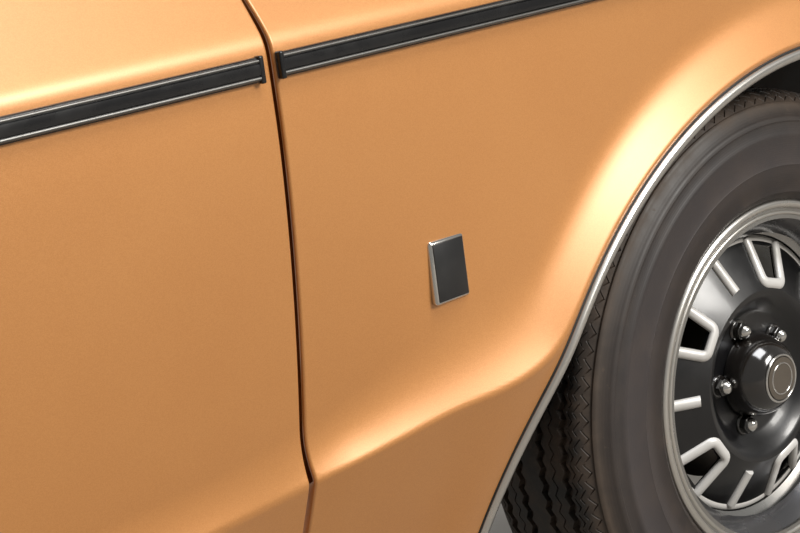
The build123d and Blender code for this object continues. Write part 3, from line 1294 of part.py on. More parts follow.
spring_pitch = (SPRING_HIGH - SPRING_LOW) / SPRING_TURNS
spring_turn = [
    (2 * math.pi * step / SPRING_STEPS, SPRING_LOW + spring_pitch * step / SPRING_STEPS)
    for step in range(SPRING_TURNS * SPRING_STEPS + 1)
]
coil_points = [(SPRING_RADIUS * math.cos(turn), SPRING_RADIUS * math.sin(turn), z) for turn, z in spring_turn]
with BuildPart() as coil_spring:
    with BuildLine() as spring_path:
        Polyline(*coil_points)
    with BuildSketch(Plane(origin=spring_path.line @ 0, z_dir=spring_path.line % 0)):
        RegularPolygon(SPRING_WIRE - 0.2, 8)
    sweep(transition=Transition.RIGHT)
coil = strut_plane * coil_spring.part
finish(coil, "coil_spring")

# Brake caliper straddling the disc
with BuildPart() as brake_caliper:
    with BuildSketch(Plane.XZ.offset(-KNUCKLE_FACE_Y)):
        with Locations((AXLE_X, 0)):
            with PolarLocations(0, 1, start_angle=CALIPER_ANGLE):
                outline = ((88, -46), (88, 46), (136, 46), (142, 30), (145, 0), (142, -30), (136, -46))
                Polygon(*outline, align=None)
    extrude(amount=62)
    fillet(brake_caliper.edges().filter_by(Axis.Y), radius=5)
    with BuildSketch(Plane.XZ.offset(-DISC_Y - DISC_THICKNESS - 2)):
        with Locations((AXLE_X, 0)):
            Circle(DISC_RADIUS + 4)
    extrude(amount=DISC_THICKNESS + 4, mode=Mode.SUBTRACT)
finish(brake_caliper.part, "brake_caliper")

# Dust shield behind the disc, open round the caliper and the ball joint
SHIELD_RADIUS = 116.0
with BuildPart() as dust_shield:
    with BuildSketch(Plane.XZ.offset(-KNUCKLE_FACE_Y)):
        with Locations((AXLE_X, 0)):
            Circle(SHIELD_RADIUS)
            Circle(HAT_BORE, mode=Mode.SUBTRACT)
            with PolarLocations(0, 1, start_angle=CALIPER_ANGLE):
                Polygon((78, -54), (78, 54), (150, 60), (150, -60), align=None, mode=Mode.SUBTRACT)
            Polygon((-50, -78), (50, -78), (50, -130), (-50, -130), align=None, mode=Mode.SUBTRACT)
    extrude(amount=1.5)
finish(dust_shield.part, "dust_shield")
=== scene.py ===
"""Looks of the front corner of a sedan: painted sheet, bright trim, road wheel and the parts behind them."""

from __future__ import annotations

import logging
import math
from contextlib import contextmanager
from dataclasses import dataclass, field
from enum import Enum
from typing import Iterable, Iterator, Sequence

import bpy
import numpy as np
from mathutils import Matrix, Vector


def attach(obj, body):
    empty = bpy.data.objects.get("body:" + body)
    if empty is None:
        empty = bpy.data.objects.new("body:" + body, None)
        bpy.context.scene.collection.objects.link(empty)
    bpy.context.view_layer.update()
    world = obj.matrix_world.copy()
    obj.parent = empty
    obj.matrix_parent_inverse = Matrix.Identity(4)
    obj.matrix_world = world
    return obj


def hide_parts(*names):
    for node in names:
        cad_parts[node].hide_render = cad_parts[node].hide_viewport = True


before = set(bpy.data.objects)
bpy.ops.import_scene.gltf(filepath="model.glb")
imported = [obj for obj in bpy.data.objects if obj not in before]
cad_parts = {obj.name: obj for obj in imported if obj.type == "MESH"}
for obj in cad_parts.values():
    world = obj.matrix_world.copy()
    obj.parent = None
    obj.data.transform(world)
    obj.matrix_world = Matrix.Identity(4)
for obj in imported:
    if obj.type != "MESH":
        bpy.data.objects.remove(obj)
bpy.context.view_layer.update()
SLOTS = {name: node.data.materials[0].name.split(".")[0] for name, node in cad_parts.items()}

log = logging.getLogger("front_corner")

MM = 0.001
Triple = tuple[float, float, float]
Color = Triple
Point = tuple[float, float]
Outline = Sequence[Point]


class Body(Enum):
    """Moving bodies that a piece can hang on."""

    SHELL = "shell"
    UPRIGHT = "upright"
    WHEEL = "wheel"
    DOOR = "front_door"


def rgb(red: int, green: int, blue: int) -> Color:
    """Turn a display colour of 0 to 255 into linear light.

    Args:
        red: Red of the display colour.
        green: Green of the display colour.
        blue: Blue of the display colour.

    Returns:
        The colour in linear light.
    """

    def linear(value: int) -> float:
        part = value / 255
        return part / 12.92 if part <= 0.04045 else ((part + 0.055) / 1.055) ** 2.4

    return linear(red), linear(green), linear(blue)


def metres(points: Outline, across: float, up: float = 0.0) -> list[Point]:
    """Turn an outline in millimetres into metres.

    Args:
        points: Corners as place across the car and radius or height, in millimetres.
        across: Where the outline's zero lies across the car, in metres.
        up: Radius or height of the outline's zero, in metres.

    Returns:
        The corners in metres.
    """
    return [(across + first * MM, up + second * MM) for first, second in points]


def arc(center: Point, radius: float, start: float, end: float, count: int) -> list[Point]:
    """Lay points on an arc.

    Args:
        center: Middle of the arc.
        radius: Radius of the arc.
        start: Angle of the first point, in degrees.
        end: Angle of the last point, in degrees.
        count: Steps between the two.

    Returns:
        The points, one more than the steps.
    """
    turns = [math.radians(start + (end - start) * step / count) for step in range(count + 1)]
    return [(center[0] + radius * math.cos(turn), center[1] + radius * math.sin(turn)) for turn in turns]


class Socket:
    """A shader socket that takes part in sums written as Python expressions."""

    def __init__(self, tree: Tree, socket: bpy.types.NodeSocket) -> None:
        """Wrap a socket of a tree."""
        self.tree = tree
        self.socket = socket

    def apply(self, operation: str, *others: Socket | float) -> Socket:
        """Work on this value with a Math node.

        Args:
            operation: Operation of the node.
            others: Further values of the operation.

        Returns:
            The result.
        """
        return self.tree.node("ShaderNodeMath", {"operation": operation}, dict(enumerate((self, *others))))

    def __add__(self, other: Socket | float) -> Socket:
        """Sum with another value."""
        return self.apply("ADD", other)

    def __sub__(self, other: Socket | float) -> Socket:
        """Difference to another value."""
        return self.apply("SUBTRACT", other)

    def __rsub__(self, other: float) -> Socket:
        """Difference from a number on the left."""
        return self.tree.node("ShaderNodeMath", {"operation": "SUBTRACT"}, {0: other, 1: self})

    def __mul__(self, other: Socket | float) -> Socket:
        """Product with another value."""
        return self.apply("MULTIPLY", other)

    def __truediv__(self, other: Socket | float) -> Socket:
        """Quotient by another value."""
        return self.apply("DIVIDE", other)

    def fade(self, low: float, high: float) -> Socket:
        """Step smoothly from zero to one.

        Args:
            low: Value where the step begins.
            high: Value where the step ends.

        Returns:
            The step.
        """
        inputs = {"Value": self, "From Min": low, "From Max": high}
        return self.tree.node("ShaderNodeMapRange", {"interpolation_type": "SMOOTHSTEP"}, inputs)


class Tree:
    """Node tree of a material or the world, with one method that adds a node."""

    def __init__(self, owner: bpy.types.Material | bpy.types.World, shader: str, output: str) -> None:
        """Start a tree with its shader and its output.

        Args:
            owner: The material or the world.
            shader: Type name of the shader node.
            output: Type name of the output node.
        """
        self.owner = owner
        owner.use_nodes = True
        self.nodes = owner.node_tree.nodes
        self.links = owner.node_tree.links
        self.nodes.clear()
        self.shader = self.nodes.new(shader)
        self.links.new(self.shader.outputs[0], self.nodes.new(output).inputs["Surface"])

    @classmethod
    def of_material(cls, name: str) -> Tree:
        """Start the tree of a new material.

        Args:
            name: Name of the material.

        Returns:
            The tree.
        """
        return cls(bpy.data.materials.new(name), "ShaderNodeBsdfPrincipled", "ShaderNodeOutputMaterial")

    def node(
        self, kind: str, settings: dict | None = None, inputs: dict | None = None, out: int | str = 0
    ) -> Socket:
        """Add a node, set it up and wire its inputs.

        Args:
            kind: Type name of the node.
            settings: Properties of the node, such as a Math node's operation, or a ramp's stops.
            inputs: Values or sockets by input name or number.
            out: Name or number of the output to give back.

        Returns:
            The chosen output.
        """
        made = self.nodes.new(kind)
        for key, value in (settings or {}).items():
            if key == "stops":
                self._stops(made.color_ramp, value)
            else:
                setattr(made, key, value)
        for key, value in (inputs or {}).items():
            self._give(made.inputs[key], value)
        return Socket(self, made.outputs[out])

    def _give(self, target: bpy.types.NodeSocket, value: Socket | float | tuple) -> None:
        """Wire a socket to an input or set its value; a colour of three parts is made opaque."""
        if isinstance(value, Socket):
            self.links.new(value.socket, target)
        elif target.type == "RGBA":
            target.default_value = (*value, 1.0)
        else:
            target.default_value = value

    @staticmethod
    def _stops(ramp: bpy.types.ColorRamp, stops: Sequence[tuple[float, Color]]) -> None:
        """Set the stops of a colour ramp."""
        while len(ramp.elements) > 1:
            ramp.elements.remove(ramp.elements[-1])
        ramp.elements[0].position = stops[0][0]
        ramp.elements[0].color = (*stops[0][1], 1.0)
        for place, color in stops[1:]:
            ramp.elements.new(place).color = (*color, 1.0)

    def place(self) -> Socket:
        """Object coordinates, in metres."""
        return self.node("ShaderNodeTexCoord", out="Object")

    def axis(self, name: str) -> Socket:
        """One of the object coordinates."""
        return self.node("ShaderNodeSeparateXYZ", {}, {0: self.place()}, name)

    def noise(
        self, scale: float, detail: float = 2.0, roughness: float = 0.5, stretch: Triple | None = None
    ) -> Socket:
        """Lay noise on object coordinates.

        Args:
            scale: Waves per metre.
            detail: Octaves of finer waves.
            roughness: Weight of the finer waves.
            stretch: Scale of the coordinates along each axis, or None.

        Returns:
            The noise, about 0.5 on average.
        """
        where = self.place()
        if stretch is not None:
            where = self.node("ShaderNodeMapping", {}, {"Vector": where, "Scale": stretch})
        inputs = {"Vector": where, "Scale": scale, "Detail": detail, "Roughness": roughness}
        return self.node("ShaderNodeTexNoise", {}, inputs)

    def mix(self, factor: Socket, first: Socket | Color, second: Socket | Color) -> Socket:
        """Blend two colours.

        Args:
            factor: Share of the second colour.
            first: Colour at zero.
            second: Colour at one.

        Returns:
            The blend.
        """
        return self.node("ShaderNodeMix", {"data_type": "RGBA"}, {0: factor, 6: first, 7: second}, 2)

    def bump(self, height: Socket, distance: float, strength: float, under: Socket | None = None) -> Socket:
        """Turn a height into a normal.

        Args:
            height: The height, from zero to one.
            distance: How many metres the whole height stands for.
            strength: How much of it shows.
            under: A normal that this one is laid on, or None.

        Returns:
            The normal.
        """
        inputs: dict = {"Height": height, "Distance": distance, "Strength": strength}
        if under is not None:
            inputs["Normal"] = under
        return self.node("ShaderNodeBump", {}, inputs)

    def set(self, **values: Socket | float | Color) -> None:
        """Set or wire inputs of the shader.

        Args:
            values: Values or sockets by input name; an underscore stands for a space.
        """
        for key, value in values.items():
            self._give(self.shader.inputs[key.replace("_", " ")], value)


class Finish:
    """A finish that makes its material once and hands it out after that."""

    name: str

    def material(self) -> bpy.types.Material:
        """The material of this finish."""
        name = f"finish_{self.name}"
        found = bpy.data.materials.get(name)
        if found:
            return found
        tree = Tree.of_material(name)
        self.build(tree)
        return tree.owner

    def build(self, tree: Tree) -> None:
        """Wire the material's nodes."""
        raise NotImplementedError


@dataclass(frozen=True)
class Paint(Finish):
    """Metallic paint under a clear coat, with fine flake and faint orange peel."""

    name: str = "body_paint"
    color: Color = rgb(211, 150, 84)
    deep: Color = rgb(190, 125, 61)
    metallic: float = 0.35
    roughness: float = 0.42
    roughness_spread: float = 0.08
    coat: float = 1.0
    coat_roughness: float = 0.33
    flake_scale: float = 1500.0
    cloud_scale: float = 9.0
    peel_scale: float = 260.0

    def build(self, tree: Tree) -> None:
        """Wire flake, tint and peel."""
        flake_inputs = {"Vector": tree.place(), "Scale": self.flake_scale}
        flake = tree.node("ShaderNodeTexVoronoi", {}, flake_inputs, "Color")
        sparkle = tree.node("ShaderNodeSeparateColor", {}, {0: flake})
        shade = sparkle.fade(0.0, 1.0) * 0.35 + tree.noise(self.cloud_scale, 3.0) * 0.3
        tilt = tree.bump(sparkle, 0.12 * MM, 0.35)
        tree.set(
            Base_Color=tree.mix(shade, self.deep, self.color),
            Metallic=self.metallic,
            Roughness=sparkle * self.roughness_spread + (self.roughness - self.roughness_spread / 2),
            Coat_Weight=self.coat,
            Coat_Roughness=self.coat_roughness,
            Normal=tree.bump(tree.noise(self.peel_scale), 0.05 * MM, 0.25, tilt),
        )


@dataclass(frozen=True)
class Bright(Finish):
    """Polished bright trim, faintly brushed and hazed."""

    name: str = "bright_trim"
    color: Color = rgb(214, 212, 208)
    roughness: float = 0.12
    streak: float = 0.06
    brushing: float = 0.3
    hazed: float = 0.8
    haze_scale: float = 35.0
    streak_scale: float = 180.0
    stretch: Triple = (0.15, 1.0, 1.0)

    def build(self, tree: Tree) -> None:
        """Wire haze and fine streaks."""
        haze = tree.noise(self.haze_scale, 3.0)
        streaks = tree.noise(self.streak_scale, 2.0, 0.6, self.stretch)
        tree.set(
            Base_Color=tree.mix(haze, self.color, tuple(self.hazed * part for part in self.color)),
            Metallic=1.0,
            Roughness=haze * 0.08 + streaks * self.streak + self.roughness * 0.7,
            Normal=tree.bump(streaks, 0.03 * MM, self.brushing),
        )


@dataclass(frozen=True)
class Rubber(Finish):
    """Black rubber or soft plastic with a dusty bloom."""

    name: str
    color: Color
    dust: Color
    bloom: float
    roughness: float
    cloud_scale: float = 24.0
    grain_scale: float = 900.0

    def build(self, tree: Tree) -> None:
        """Wire bloom and grain."""
        cloud = tree.noise(self.cloud_scale, 4.0, 0.6).fade(0.45, 0.75)
        tree.set(
            Base_Color=tree.mix(cloud * self.bloom, self.color, self.dust),
            Roughness=cloud * 0.2 + self.roughness,
            Normal=tree.bump(tree.noise(self.grain_scale), 0.08 * MM, 0.4),
        )


@dataclass(frozen=True)
class Enamel(Finish):
    """Plain paint or coating on a structural piece, with dust and small chips."""

    name: str
    color: Color
    worn: Color
    roughness: float = 0.4
    metallic: float = 0.0
    coat: float = 0.0
    grain_scale: float = 500.0
    depth: float = 0.06 * MM
    dust_scale: float = 14.0
    chip_scale: float = 160.0

    def build(self, tree: Tree) -> None:
        """Wire dust, chips and grain."""
        dust = tree.noise(self.dust_scale, 5.0, 0.6).fade(0.42, 0.8)
        chips = tree.noise(self.chip_scale, 3.0, 0.7).fade(0.68, 0.74)
        tree.set(
            Base_Color=tree.mix(dust * 0.45 + chips * 0.35, self.color, self.worn),
            Metallic=self.metallic,
            Roughness=dust * 0.2 + self.roughness,
            Coat_Weight=self.coat,
            Coat_Roughness=0.12,
            Normal=tree.bump(tree.noise(self.grain_scale), self.depth, 0.4),
        )


@dataclass(frozen=True)
class PleatedVinyl(Finish):
    """Grained vinyl of the door card, with a band of upright pleats."""

    name: str = "pleated_vinyl"
    color: Color = rgb(74, 52, 38)
    worn: Color = rgb(104, 80, 62)
    pitch: float = 34 * MM
    band: Point = (190 * MM, 330 * MM)
    band_edge: float = 4 * MM
    grain_scale: float = 700.0
    rub_scale: float = 8.0

    def build(self, tree: Tree) -> None:
        """Wire pleats, grain and rubbed high spots."""
        low, high = self.band
        height = tree.axis("Z")
        inside = height.fade(low, low + self.band_edge) * (1 - height.fade(high - self.band_edge, high))
        pleat = (tree.axis("X") * (math.pi / self.pitch)).apply("SINE").apply("ABSOLUTE")
        raised = (pleat.apply("POWER", 0.5) - 1) * inside
        grain = tree.noise(self.grain_scale, 3.0, 0.6)
        rubbed = tree.noise(self.rub_scale, 4.0, 0.6).fade(0.45, 0.8)
        tree.set(
            Base_Color=tree.mix(rubbed * 0.4, self.color, self.worn),
            Roughness=rubbed * -0.1 + 0.55,
            Normal=tree.bump(raised + grain * 0.02, 6 * MM, 0.9),
        )


@dataclass(frozen=True)
class Glass(Finish):
    """Side glass, clear with a faint tint."""

    name: str = "side_glass"
    color: Color = rgb(196, 214, 205)
    index: float = 1.45
    clearness: float = 0.92
    alpha: float = 0.55

    def build(self, tree: Tree) -> None:
        """Wire a thin transmitting sheet with faint smears."""
        smear = tree.noise(12.0, 4.0).fade(0.4, 0.8)
        tree.set(
            Base_Color=self.color,
            Roughness=smear * 0.04 + 0.01,
            IOR=self.index,
            Transmission_Weight=self.clearness,
            Alpha=self.alpha,
        )


@dataclass(frozen=True)
class TyreRubber(Finish):
    """Tyre rubber: dark bead, a wall whose lighter grey middle is a painted reflection, turned rings, dusty brown
    shoulder and tread.
    """

    name: str = "tyre_rubber"
    axle: Point = (0.668, 0.0)
    inner: float = 0.19
    outer: float = 0.32
    # Colours by radius, darker at the bead and at the tread; the lighter grey across the middle of the wall (0.228 to
    # 0.262) is a painted reflection on the glossy rubber.
    tones_and_sheen: tuple[tuple[float, Color], ...] = (
        (0.198, rgb(27, 21, 19)),
        (0.216, rgb(36, 29, 27)),
        (0.228, rgb(50, 44, 43)),
        (0.262, rgb(53, 48, 48)),
        (0.270, rgb(42, 37, 36)),
        (0.288, rgb(46, 40, 37)),
        (0.297, rgb(58, 49, 41)),
        (0.305, rgb(50, 42, 36)),
        (0.311, rgb(17, 16, 15)),
    )
    dust: Color = rgb(92, 76, 62)
    shoulder: Point = (0.288, 0.300)
    ring_rate: float = 2600.0
    scuff_scale: float = 22.0
    grain_scale: float = 420.0
    speck_scale: float = 160.0

    def build(self, tree: Tree) -> None:
        """Wire the radial colour steps of tone and painted reflection, dust, rings and scuffs."""
        across = tree.axis("X") - self.axle[0]
        up = tree.axis("Z") - self.axle[1]
        radius = (across * across + up * up).apply("SQRT")
        span = self.outer - self.inner
        stops = [((place - self.inner) / span, color) for place, color in self.tones_and_sheen]
        band = tree.node("ShaderNodeValToRGB", {"stops": stops}, {0: (radius - self.inner) / span})
        scuff = tree.noise(self.scuff_scale, 5.0, 0.65)
        fine = tree.noise(self.grain_scale, 3.0, 0.6)
        specks = tree.noise(self.speck_scale).fade(0.70, 0.76)
        shoulder = radius.fade(*self.shoulder)
        dusty = (shoulder * 0.4 + 0.15) * scuff.fade(0.35, 0.75) + specks * 0.25
        rings = (radius * self.ring_rate).apply("SINE") * 0.5 + 0.5
        tree.set(
            Base_Color=tree.mix(dusty, band, self.dust),
            Roughness=dusty * 0.3 + scuff * 0.12 + 0.42,
            Normal=tree.bump(rings * (1 - shoulder) * 0.5 + fine * 0.6, 0.14 * MM, 0.45),
        )


PAINT = Paint()
BRIGHT = Bright()
SATIN_BRIGHT = Bright("satin_bright", rgb(214, 211, 205), 0.34, 0.02, 0.04)
STRIP_LINE = Bright("strip_line", rgb(118, 117, 114), 0.46, 0.02, 0.04)
# Near-black strip that stands for the shadow in the gap between the arch's paint and its trim: painted shadow.
PAINTED_SHADOW_BEAD = Rubber("painted_shadow_bead", rgb(16, 16, 16), rgb(70, 64, 56), 0.25, 0.6)
MOUNT_RUBBER = Rubber("mount_rubber", rgb(20, 20, 20), rgb(74, 66, 58), 0.3, 0.65)
INSERT = Enamel("strip_black", rgb(11, 11, 13), rgb(38, 37, 36), 0.24)
UNDERBODY = Enamel("underbody", rgb(17, 16, 15), rgb(58, 52, 45), 0.75, grain_scale=260.0, depth=0.4 * MM)
SATIN_BLACK = Enamel("satin_black", rgb(15, 15, 16), rgb(52, 50, 48), coat=0.15)
INNER_PAINT = Enamel("inner_paint", rgb(158, 104, 54), rgb(110, 78, 48), 0.35, 0.2, 0.6)
IRON = Enamel("turned_iron", rgb(120, 112, 104), rgb(92, 62, 44), 0.38, 0.75, grain_scale=700.0)
STEEL = Enamel("bright_steel", rgb(168, 168, 166), rgb(120, 108, 96), 0.26, 1.0)
VINYL = Enamel("grained_vinyl", rgb(58, 40, 28), rgb(82, 60, 44), 0.52, grain_scale=520.0, depth=0.4 * MM)
WHEEL_SILVER = Enamel("wheel_silver", rgb(206, 204, 200), rgb(160, 152, 142), 0.36, 0.15, 0.2, 600.0)
DISC_BLACK = Enamel("disc_black", rgb(10, 10, 12), rgb(32, 30, 29), 0.3, coat=0.25)
GLOSS_BLACK = Enamel("gloss_black", rgb(20, 17, 15), rgb(46, 38, 32), 0.14, coat=1.0)
# Dark grey of the rim's inner slope: silver metal coloured dark as painted shade.
RIM_PAINTED_SHADE = Enamel("rim_painted_shade", rgb(84, 84, 86), rgb(70, 62, 54), 0.24, 0.7, 0.3, 600.0)
CAP_GREY = Enamel("cap_grey", rgb(92, 84, 74), rgb(70, 60, 50), 0.3, 0.4, 0.3, 600.0)
CARD = PleatedVinyl()
TYRE = TyreRubber()
GLASS = Glass()


class Bench:
    """Steps of modelling by hand: primitives, edit mode and applied modifiers."""

    SEED = 1 * MM
    FINE = 0.001 * MM

    @staticmethod
    def only(piece: bpy.types.Object) -> None:
        """Select one piece alone and make it active."""
        bpy.ops.object.select_all(action="DESELECT")
        piece.select_set(True)
        bpy.context.view_layer.objects.active = piece

    @staticmethod
    def clear() -> None:
        """Leave edit mode and deselect everything."""
        if bpy.context.object and bpy.context.object.mode != "OBJECT":
            bpy.ops.object.mode_set(mode="OBJECT")
        bpy.ops.object.select_all(action="DESELECT")

    @staticmethod
    @contextmanager
    def editing(piece: bpy.types.Object) -> Iterator[None]:
        """Hold a piece in edit mode, at first with all of it selected."""
        Bench.only(piece)
        bpy.ops.object.mode_set(mode="EDIT")
        bpy.ops.mesh.select_all(action="SELECT")
        yield
        bpy.ops.object.mode_set(mode="OBJECT")

    @staticmethod
    def weld(piece: bpy.types.Object, distance: float, capped: bool = False) -> bpy.types.Object:
        """Merge doubles and turn all faces outward.

        Args:
            piece: The piece.
            distance: Corners nearer than this become one.
            capped: True to close the open ends.

        Returns:
            The same piece.
        """
        with Bench.editing(piece):
            bpy.ops.mesh.remove_doubles(threshold=distance)
            if capped:
                bpy.ops.mesh.select_all(action="DESELECT")
                bpy.ops.mesh.select_non_manifold()
                bpy.ops.mesh.edge_face_add()
                bpy.ops.mesh.select_all(action="SELECT")
            bpy.ops.mesh.normals_make_consistent(inside=False)
        return piece

    @staticmethod
    def pull(offset: Iterable[float]) -> None:
        """Extrude what is selected by an offset."""
        bpy.ops.mesh.extrude_region_move(TRANSFORM_OT_translate={"value": tuple(offset)})

    @staticmethod
    def named(name: str) -> bpy.types.Object:
        """Name the active object and put its place into its mesh."""
        piece = bpy.context.object
        piece.name = piece.data.name = name
        bpy.ops.object.transform_apply(location=True, rotation=True, scale=True)
        return piece

    @staticmethod
    def seed(name: str, place: Sequence[float]) -> bpy.types.Object:
        """Start a piece from one corner and leave it in edit mode.

        Args:
            name: Name of the piece.
            place: Where the corner lies.

        Returns:
            The piece.
        """
        Bench.clear()
        bpy.ops.mesh.primitive_plane_add(size=Bench.SEED, location=place)
        piece = Bench.named(name)
        bpy.ops.object.mode_set(mode="EDIT")
        bpy.ops.mesh.merge(type="CENTER")
        return piece

    @staticmethod
    def grid(name: str, points: np.ndarray, normals: np.ndarray | None = None) -> bpy.types.Object:
        """Make a sheet from rows and columns of points.

        Args:
            name: Name of the piece.
            points: Array of rows by columns by 3, in metres.
            normals: Normals of the same shape, or None to leave them to the faces.

        Returns:
            The piece.
        """
        rows, columns = points.shape[:2]
        index = np.arange(rows * columns).reshape(rows, columns)
        corners = [index[:-1, :-1], index[:-1, 1:], index[1:, 1:], index[1:, :-1]]
        faces = np.stack(corners, axis=-1).reshape(-1, 4)
        mesh = bpy.data.meshes.new(name)
        mesh.from_pydata(points.reshape(-1, 3).tolist(), [], faces.tolist())
        mesh.polygons.foreach_set("use_smooth", np.ones(len(faces), dtype=bool))
        if normals is not None:
            mesh.normals_split_custom_set_from_vertices(normals.reshape(-1, 3).tolist())
        piece = bpy.data.objects.new(name, mesh)
        bpy.context.collection.objects.link(piece)
        return piece

    @staticmethod
    def turned(name: str, profile: Outline, center: Vector, steps: int) -> bpy.types.Object:
        """Turn a closed outline about a line that runs across the car.

        Args:
            name: Name of the piece.
            profile: Corners of the outline as place across the car and radius.
            center: A point on the line.
            steps: Steps of the full turn.

        Returns:
            The turned piece.
        """
        piece = Bench.seed(name, (center.x, profile[0][0], center.z + profile[0][1]))
        closed = profile[0][1] > Bench.FINE
        for (y0, r0), (y1, r1) in zip(profile, [*profile[1:], profile[0]] if closed else profile[1:]):
            Bench.pull((0, y1 - y0, r1 - r0))
        bpy.ops.mesh.select_all(action="SELECT")
        bpy.ops.mesh.spin(steps=steps, angle=2 * math.pi, center=tuple(center), axis=(0, 1, 0))
        bpy.ops.object.mode_set(mode="OBJECT")
        return Bench.weld(piece, 0.05 * MM)

    @staticmethod
    def drawn(name: str, profile: Outline, path: Outline) -> bpy.types.Object:
        """Draw a closed outline along the car.

        Args:
            name: Name of the piece.
            profile: Corners of the outline as place across the car and height.
            path: Places along the car, each with its shift across the car.

        Returns:
            The drawn piece.
        """
        x0, shift = path[0]
        piece = Bench.seed(name, (x0, profile[0][0] + shift, profile[0][1]))
        for (y0, z0), (y1, z1) in zip(profile, [*profile[1:], profile[0]]):
            Bench.pull((0, y1 - y0, z1 - z0))
        bpy.ops.mesh.select_all(action="SELECT")
        bpy.ops.mesh.remove_doubles(threshold=0.02 * MM)
        bpy.ops.mesh.edge_face_add()
        for (xa, ya), (xb, yb) in zip(path, path[1:]):
            Bench.pull((xb - xa, yb - ya, 0))
        bpy.ops.object.mode_set(mode="OBJECT")
        return Bench.weld(piece, Bench.FINE)

    @staticmethod
    def smooth(piece: bpy.types.Object, degrees: float) -> bpy.types.Object:
        """Shade a piece smooth.

        Args:
            piece: The piece.
            degrees: Angle between faces up to which their edge is smoothed.

        Returns:
            The same piece.
        """
        Bench.only(piece)
        bpy.ops.object.shade_smooth_by_angle(angle=math.radians(degrees))
        return piece

    @staticmethod
    def apply(piece: bpy.types.Object, kind: str, **settings: object) -> bpy.types.Object:
        """Add a modifier, set it up and apply it.

        Args:
            piece: The piece.
            kind: Type name of the modifier.
            settings: Properties of the modifier.

        Returns:
            The same piece.
        """
        Bench.only(piece)
        modifier = piece.modifiers.new(kind.lower(), kind)
        for key, value in settings.items():
            setattr(modifier, key, value)
        bpy.ops.object.modifier_apply(modifier=modifier.name)
        return piece

    @staticmethod
    def block(
        name: str, center: Sequence[float], size: Sequence[float], bevel: float, segments: int
    ) -> bpy.types.Object:
        """Make a block with rounded edges.

        Args:
            name: Name of the piece.
            center: Its middle.
            size: Its length along each axis.
            bevel: Width of the rounding.
            segments: Steps of the rounding.

        Returns:
            The block.
        """
        Bench.clear()
        bpy.ops.mesh.primitive_cube_add(size=1, location=center, scale=size)
        return Bench.smooth(Bench.apply(Bench.named(name), "BEVEL", width=bevel, segments=segments), 40)

    @staticmethod
    def rib(name: str, path: Sequence[Vector], width: float, height: float) -> bpy.types.Object:
        """Draw a half-round rib along a path that lies about square to the axle.

        Args:
            name: Name of the piece.
            path: Points along the rib.
            width: Width of the rib.
            height: How far it stands out from the path.

        Returns:
            The rib.
        """
        first = path[0].y
        path = [Vector((at.x, first + (at.y - first) * width / (2 * height), at.z)) for at in path]
        piece = Bench.seed(name, path[0])
        for start, end in zip(path, path[1:]):
            Bench.pull(end - start)
        bpy.ops.mesh.select_all(action="SELECT")
        bpy.ops.mesh.remove_doubles(threshold=0.05 * MM)
        bpy.ops.object.mode_set(mode="OBJECT")
        bpy.ops.object.convert(target="CURVE")
        curve = bpy.context.object
        curve.data.bevel_depth = width / 2
        curve.data.bevel_resolution = 5
        curve.data.use_fill_caps = True
        bpy.ops.object.convert(target="MESH")
        piece = bpy.context.object
        piece.name = name
        with Bench.editing(piece):
            bpy.ops.transform.resize(value=(1, 2 * height / width, 1), center_override=tuple(path[0]))
        return Bench.smooth(piece, 50)

    @staticmethod
    def joined(name: str, pieces: Sequence[bpy.types.Object]) -> bpy.types.Object:
        """Join pieces into one object.

        Args:
            name: Name of the whole.
            pieces: The pieces.

        Returns:
            The whole.
        """
        Bench.clear()
        for piece in pieces:
            piece.select_set(True)
        whole = pieces[0]
        bpy.context.view_layer.objects.active = whole
        bpy.ops.object.join()
        whole.name = whole.data.name = name
        return whole

    @staticmethod
    def around(piece: bpy.types.Object, center: Vector, count: int) -> bpy.types.Object:
        """Copy a piece round the axle and join the copies to it.

        Args:
            piece: The piece.
            center: A point on the axle.
            count: How many there are in the end.

        Returns:
            The joined piece.
        """
        copies = [piece]
        for step in range(1, count):
            copy = piece.copy()
            copy.data = piece.data.copy()
            bpy.context.collection.objects.link(copy)
            turn = Matrix.Rotation(2 * math.pi * step / count, 4, "Y")
            copy.data.transform(Matrix.Translation(center) @ turn @ Matrix.Translation(-center))
            copies.append(copy)
        return Bench.joined(piece.name, copies)


def dress(piece: bpy.types.Object, finish: Finish) -> None:
    """Give a piece its finish.

    Args:
        piece: The piece.
        finish: The finish.
    """
    piece.data.materials.clear()
    piece.data.materials.append(finish.material())


def placed(
    piece: bpy.types.Object, finish: Finish, body: Body, nodes: Iterable[str] = ()
) -> bpy.types.Object:
    """Dress a piece and hang it on its body.

    Args:
        piece: The piece.
        finish: Its finish.
        body: The body that it moves with.
        nodes: The CAD nodes that it stands for.

    Returns:
        The same piece.
    """
    dress(piece, finish)
    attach(piece, body.value)
    if nodes:
        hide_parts(*nodes)
    log.info("built %s", piece.name)
    return piece


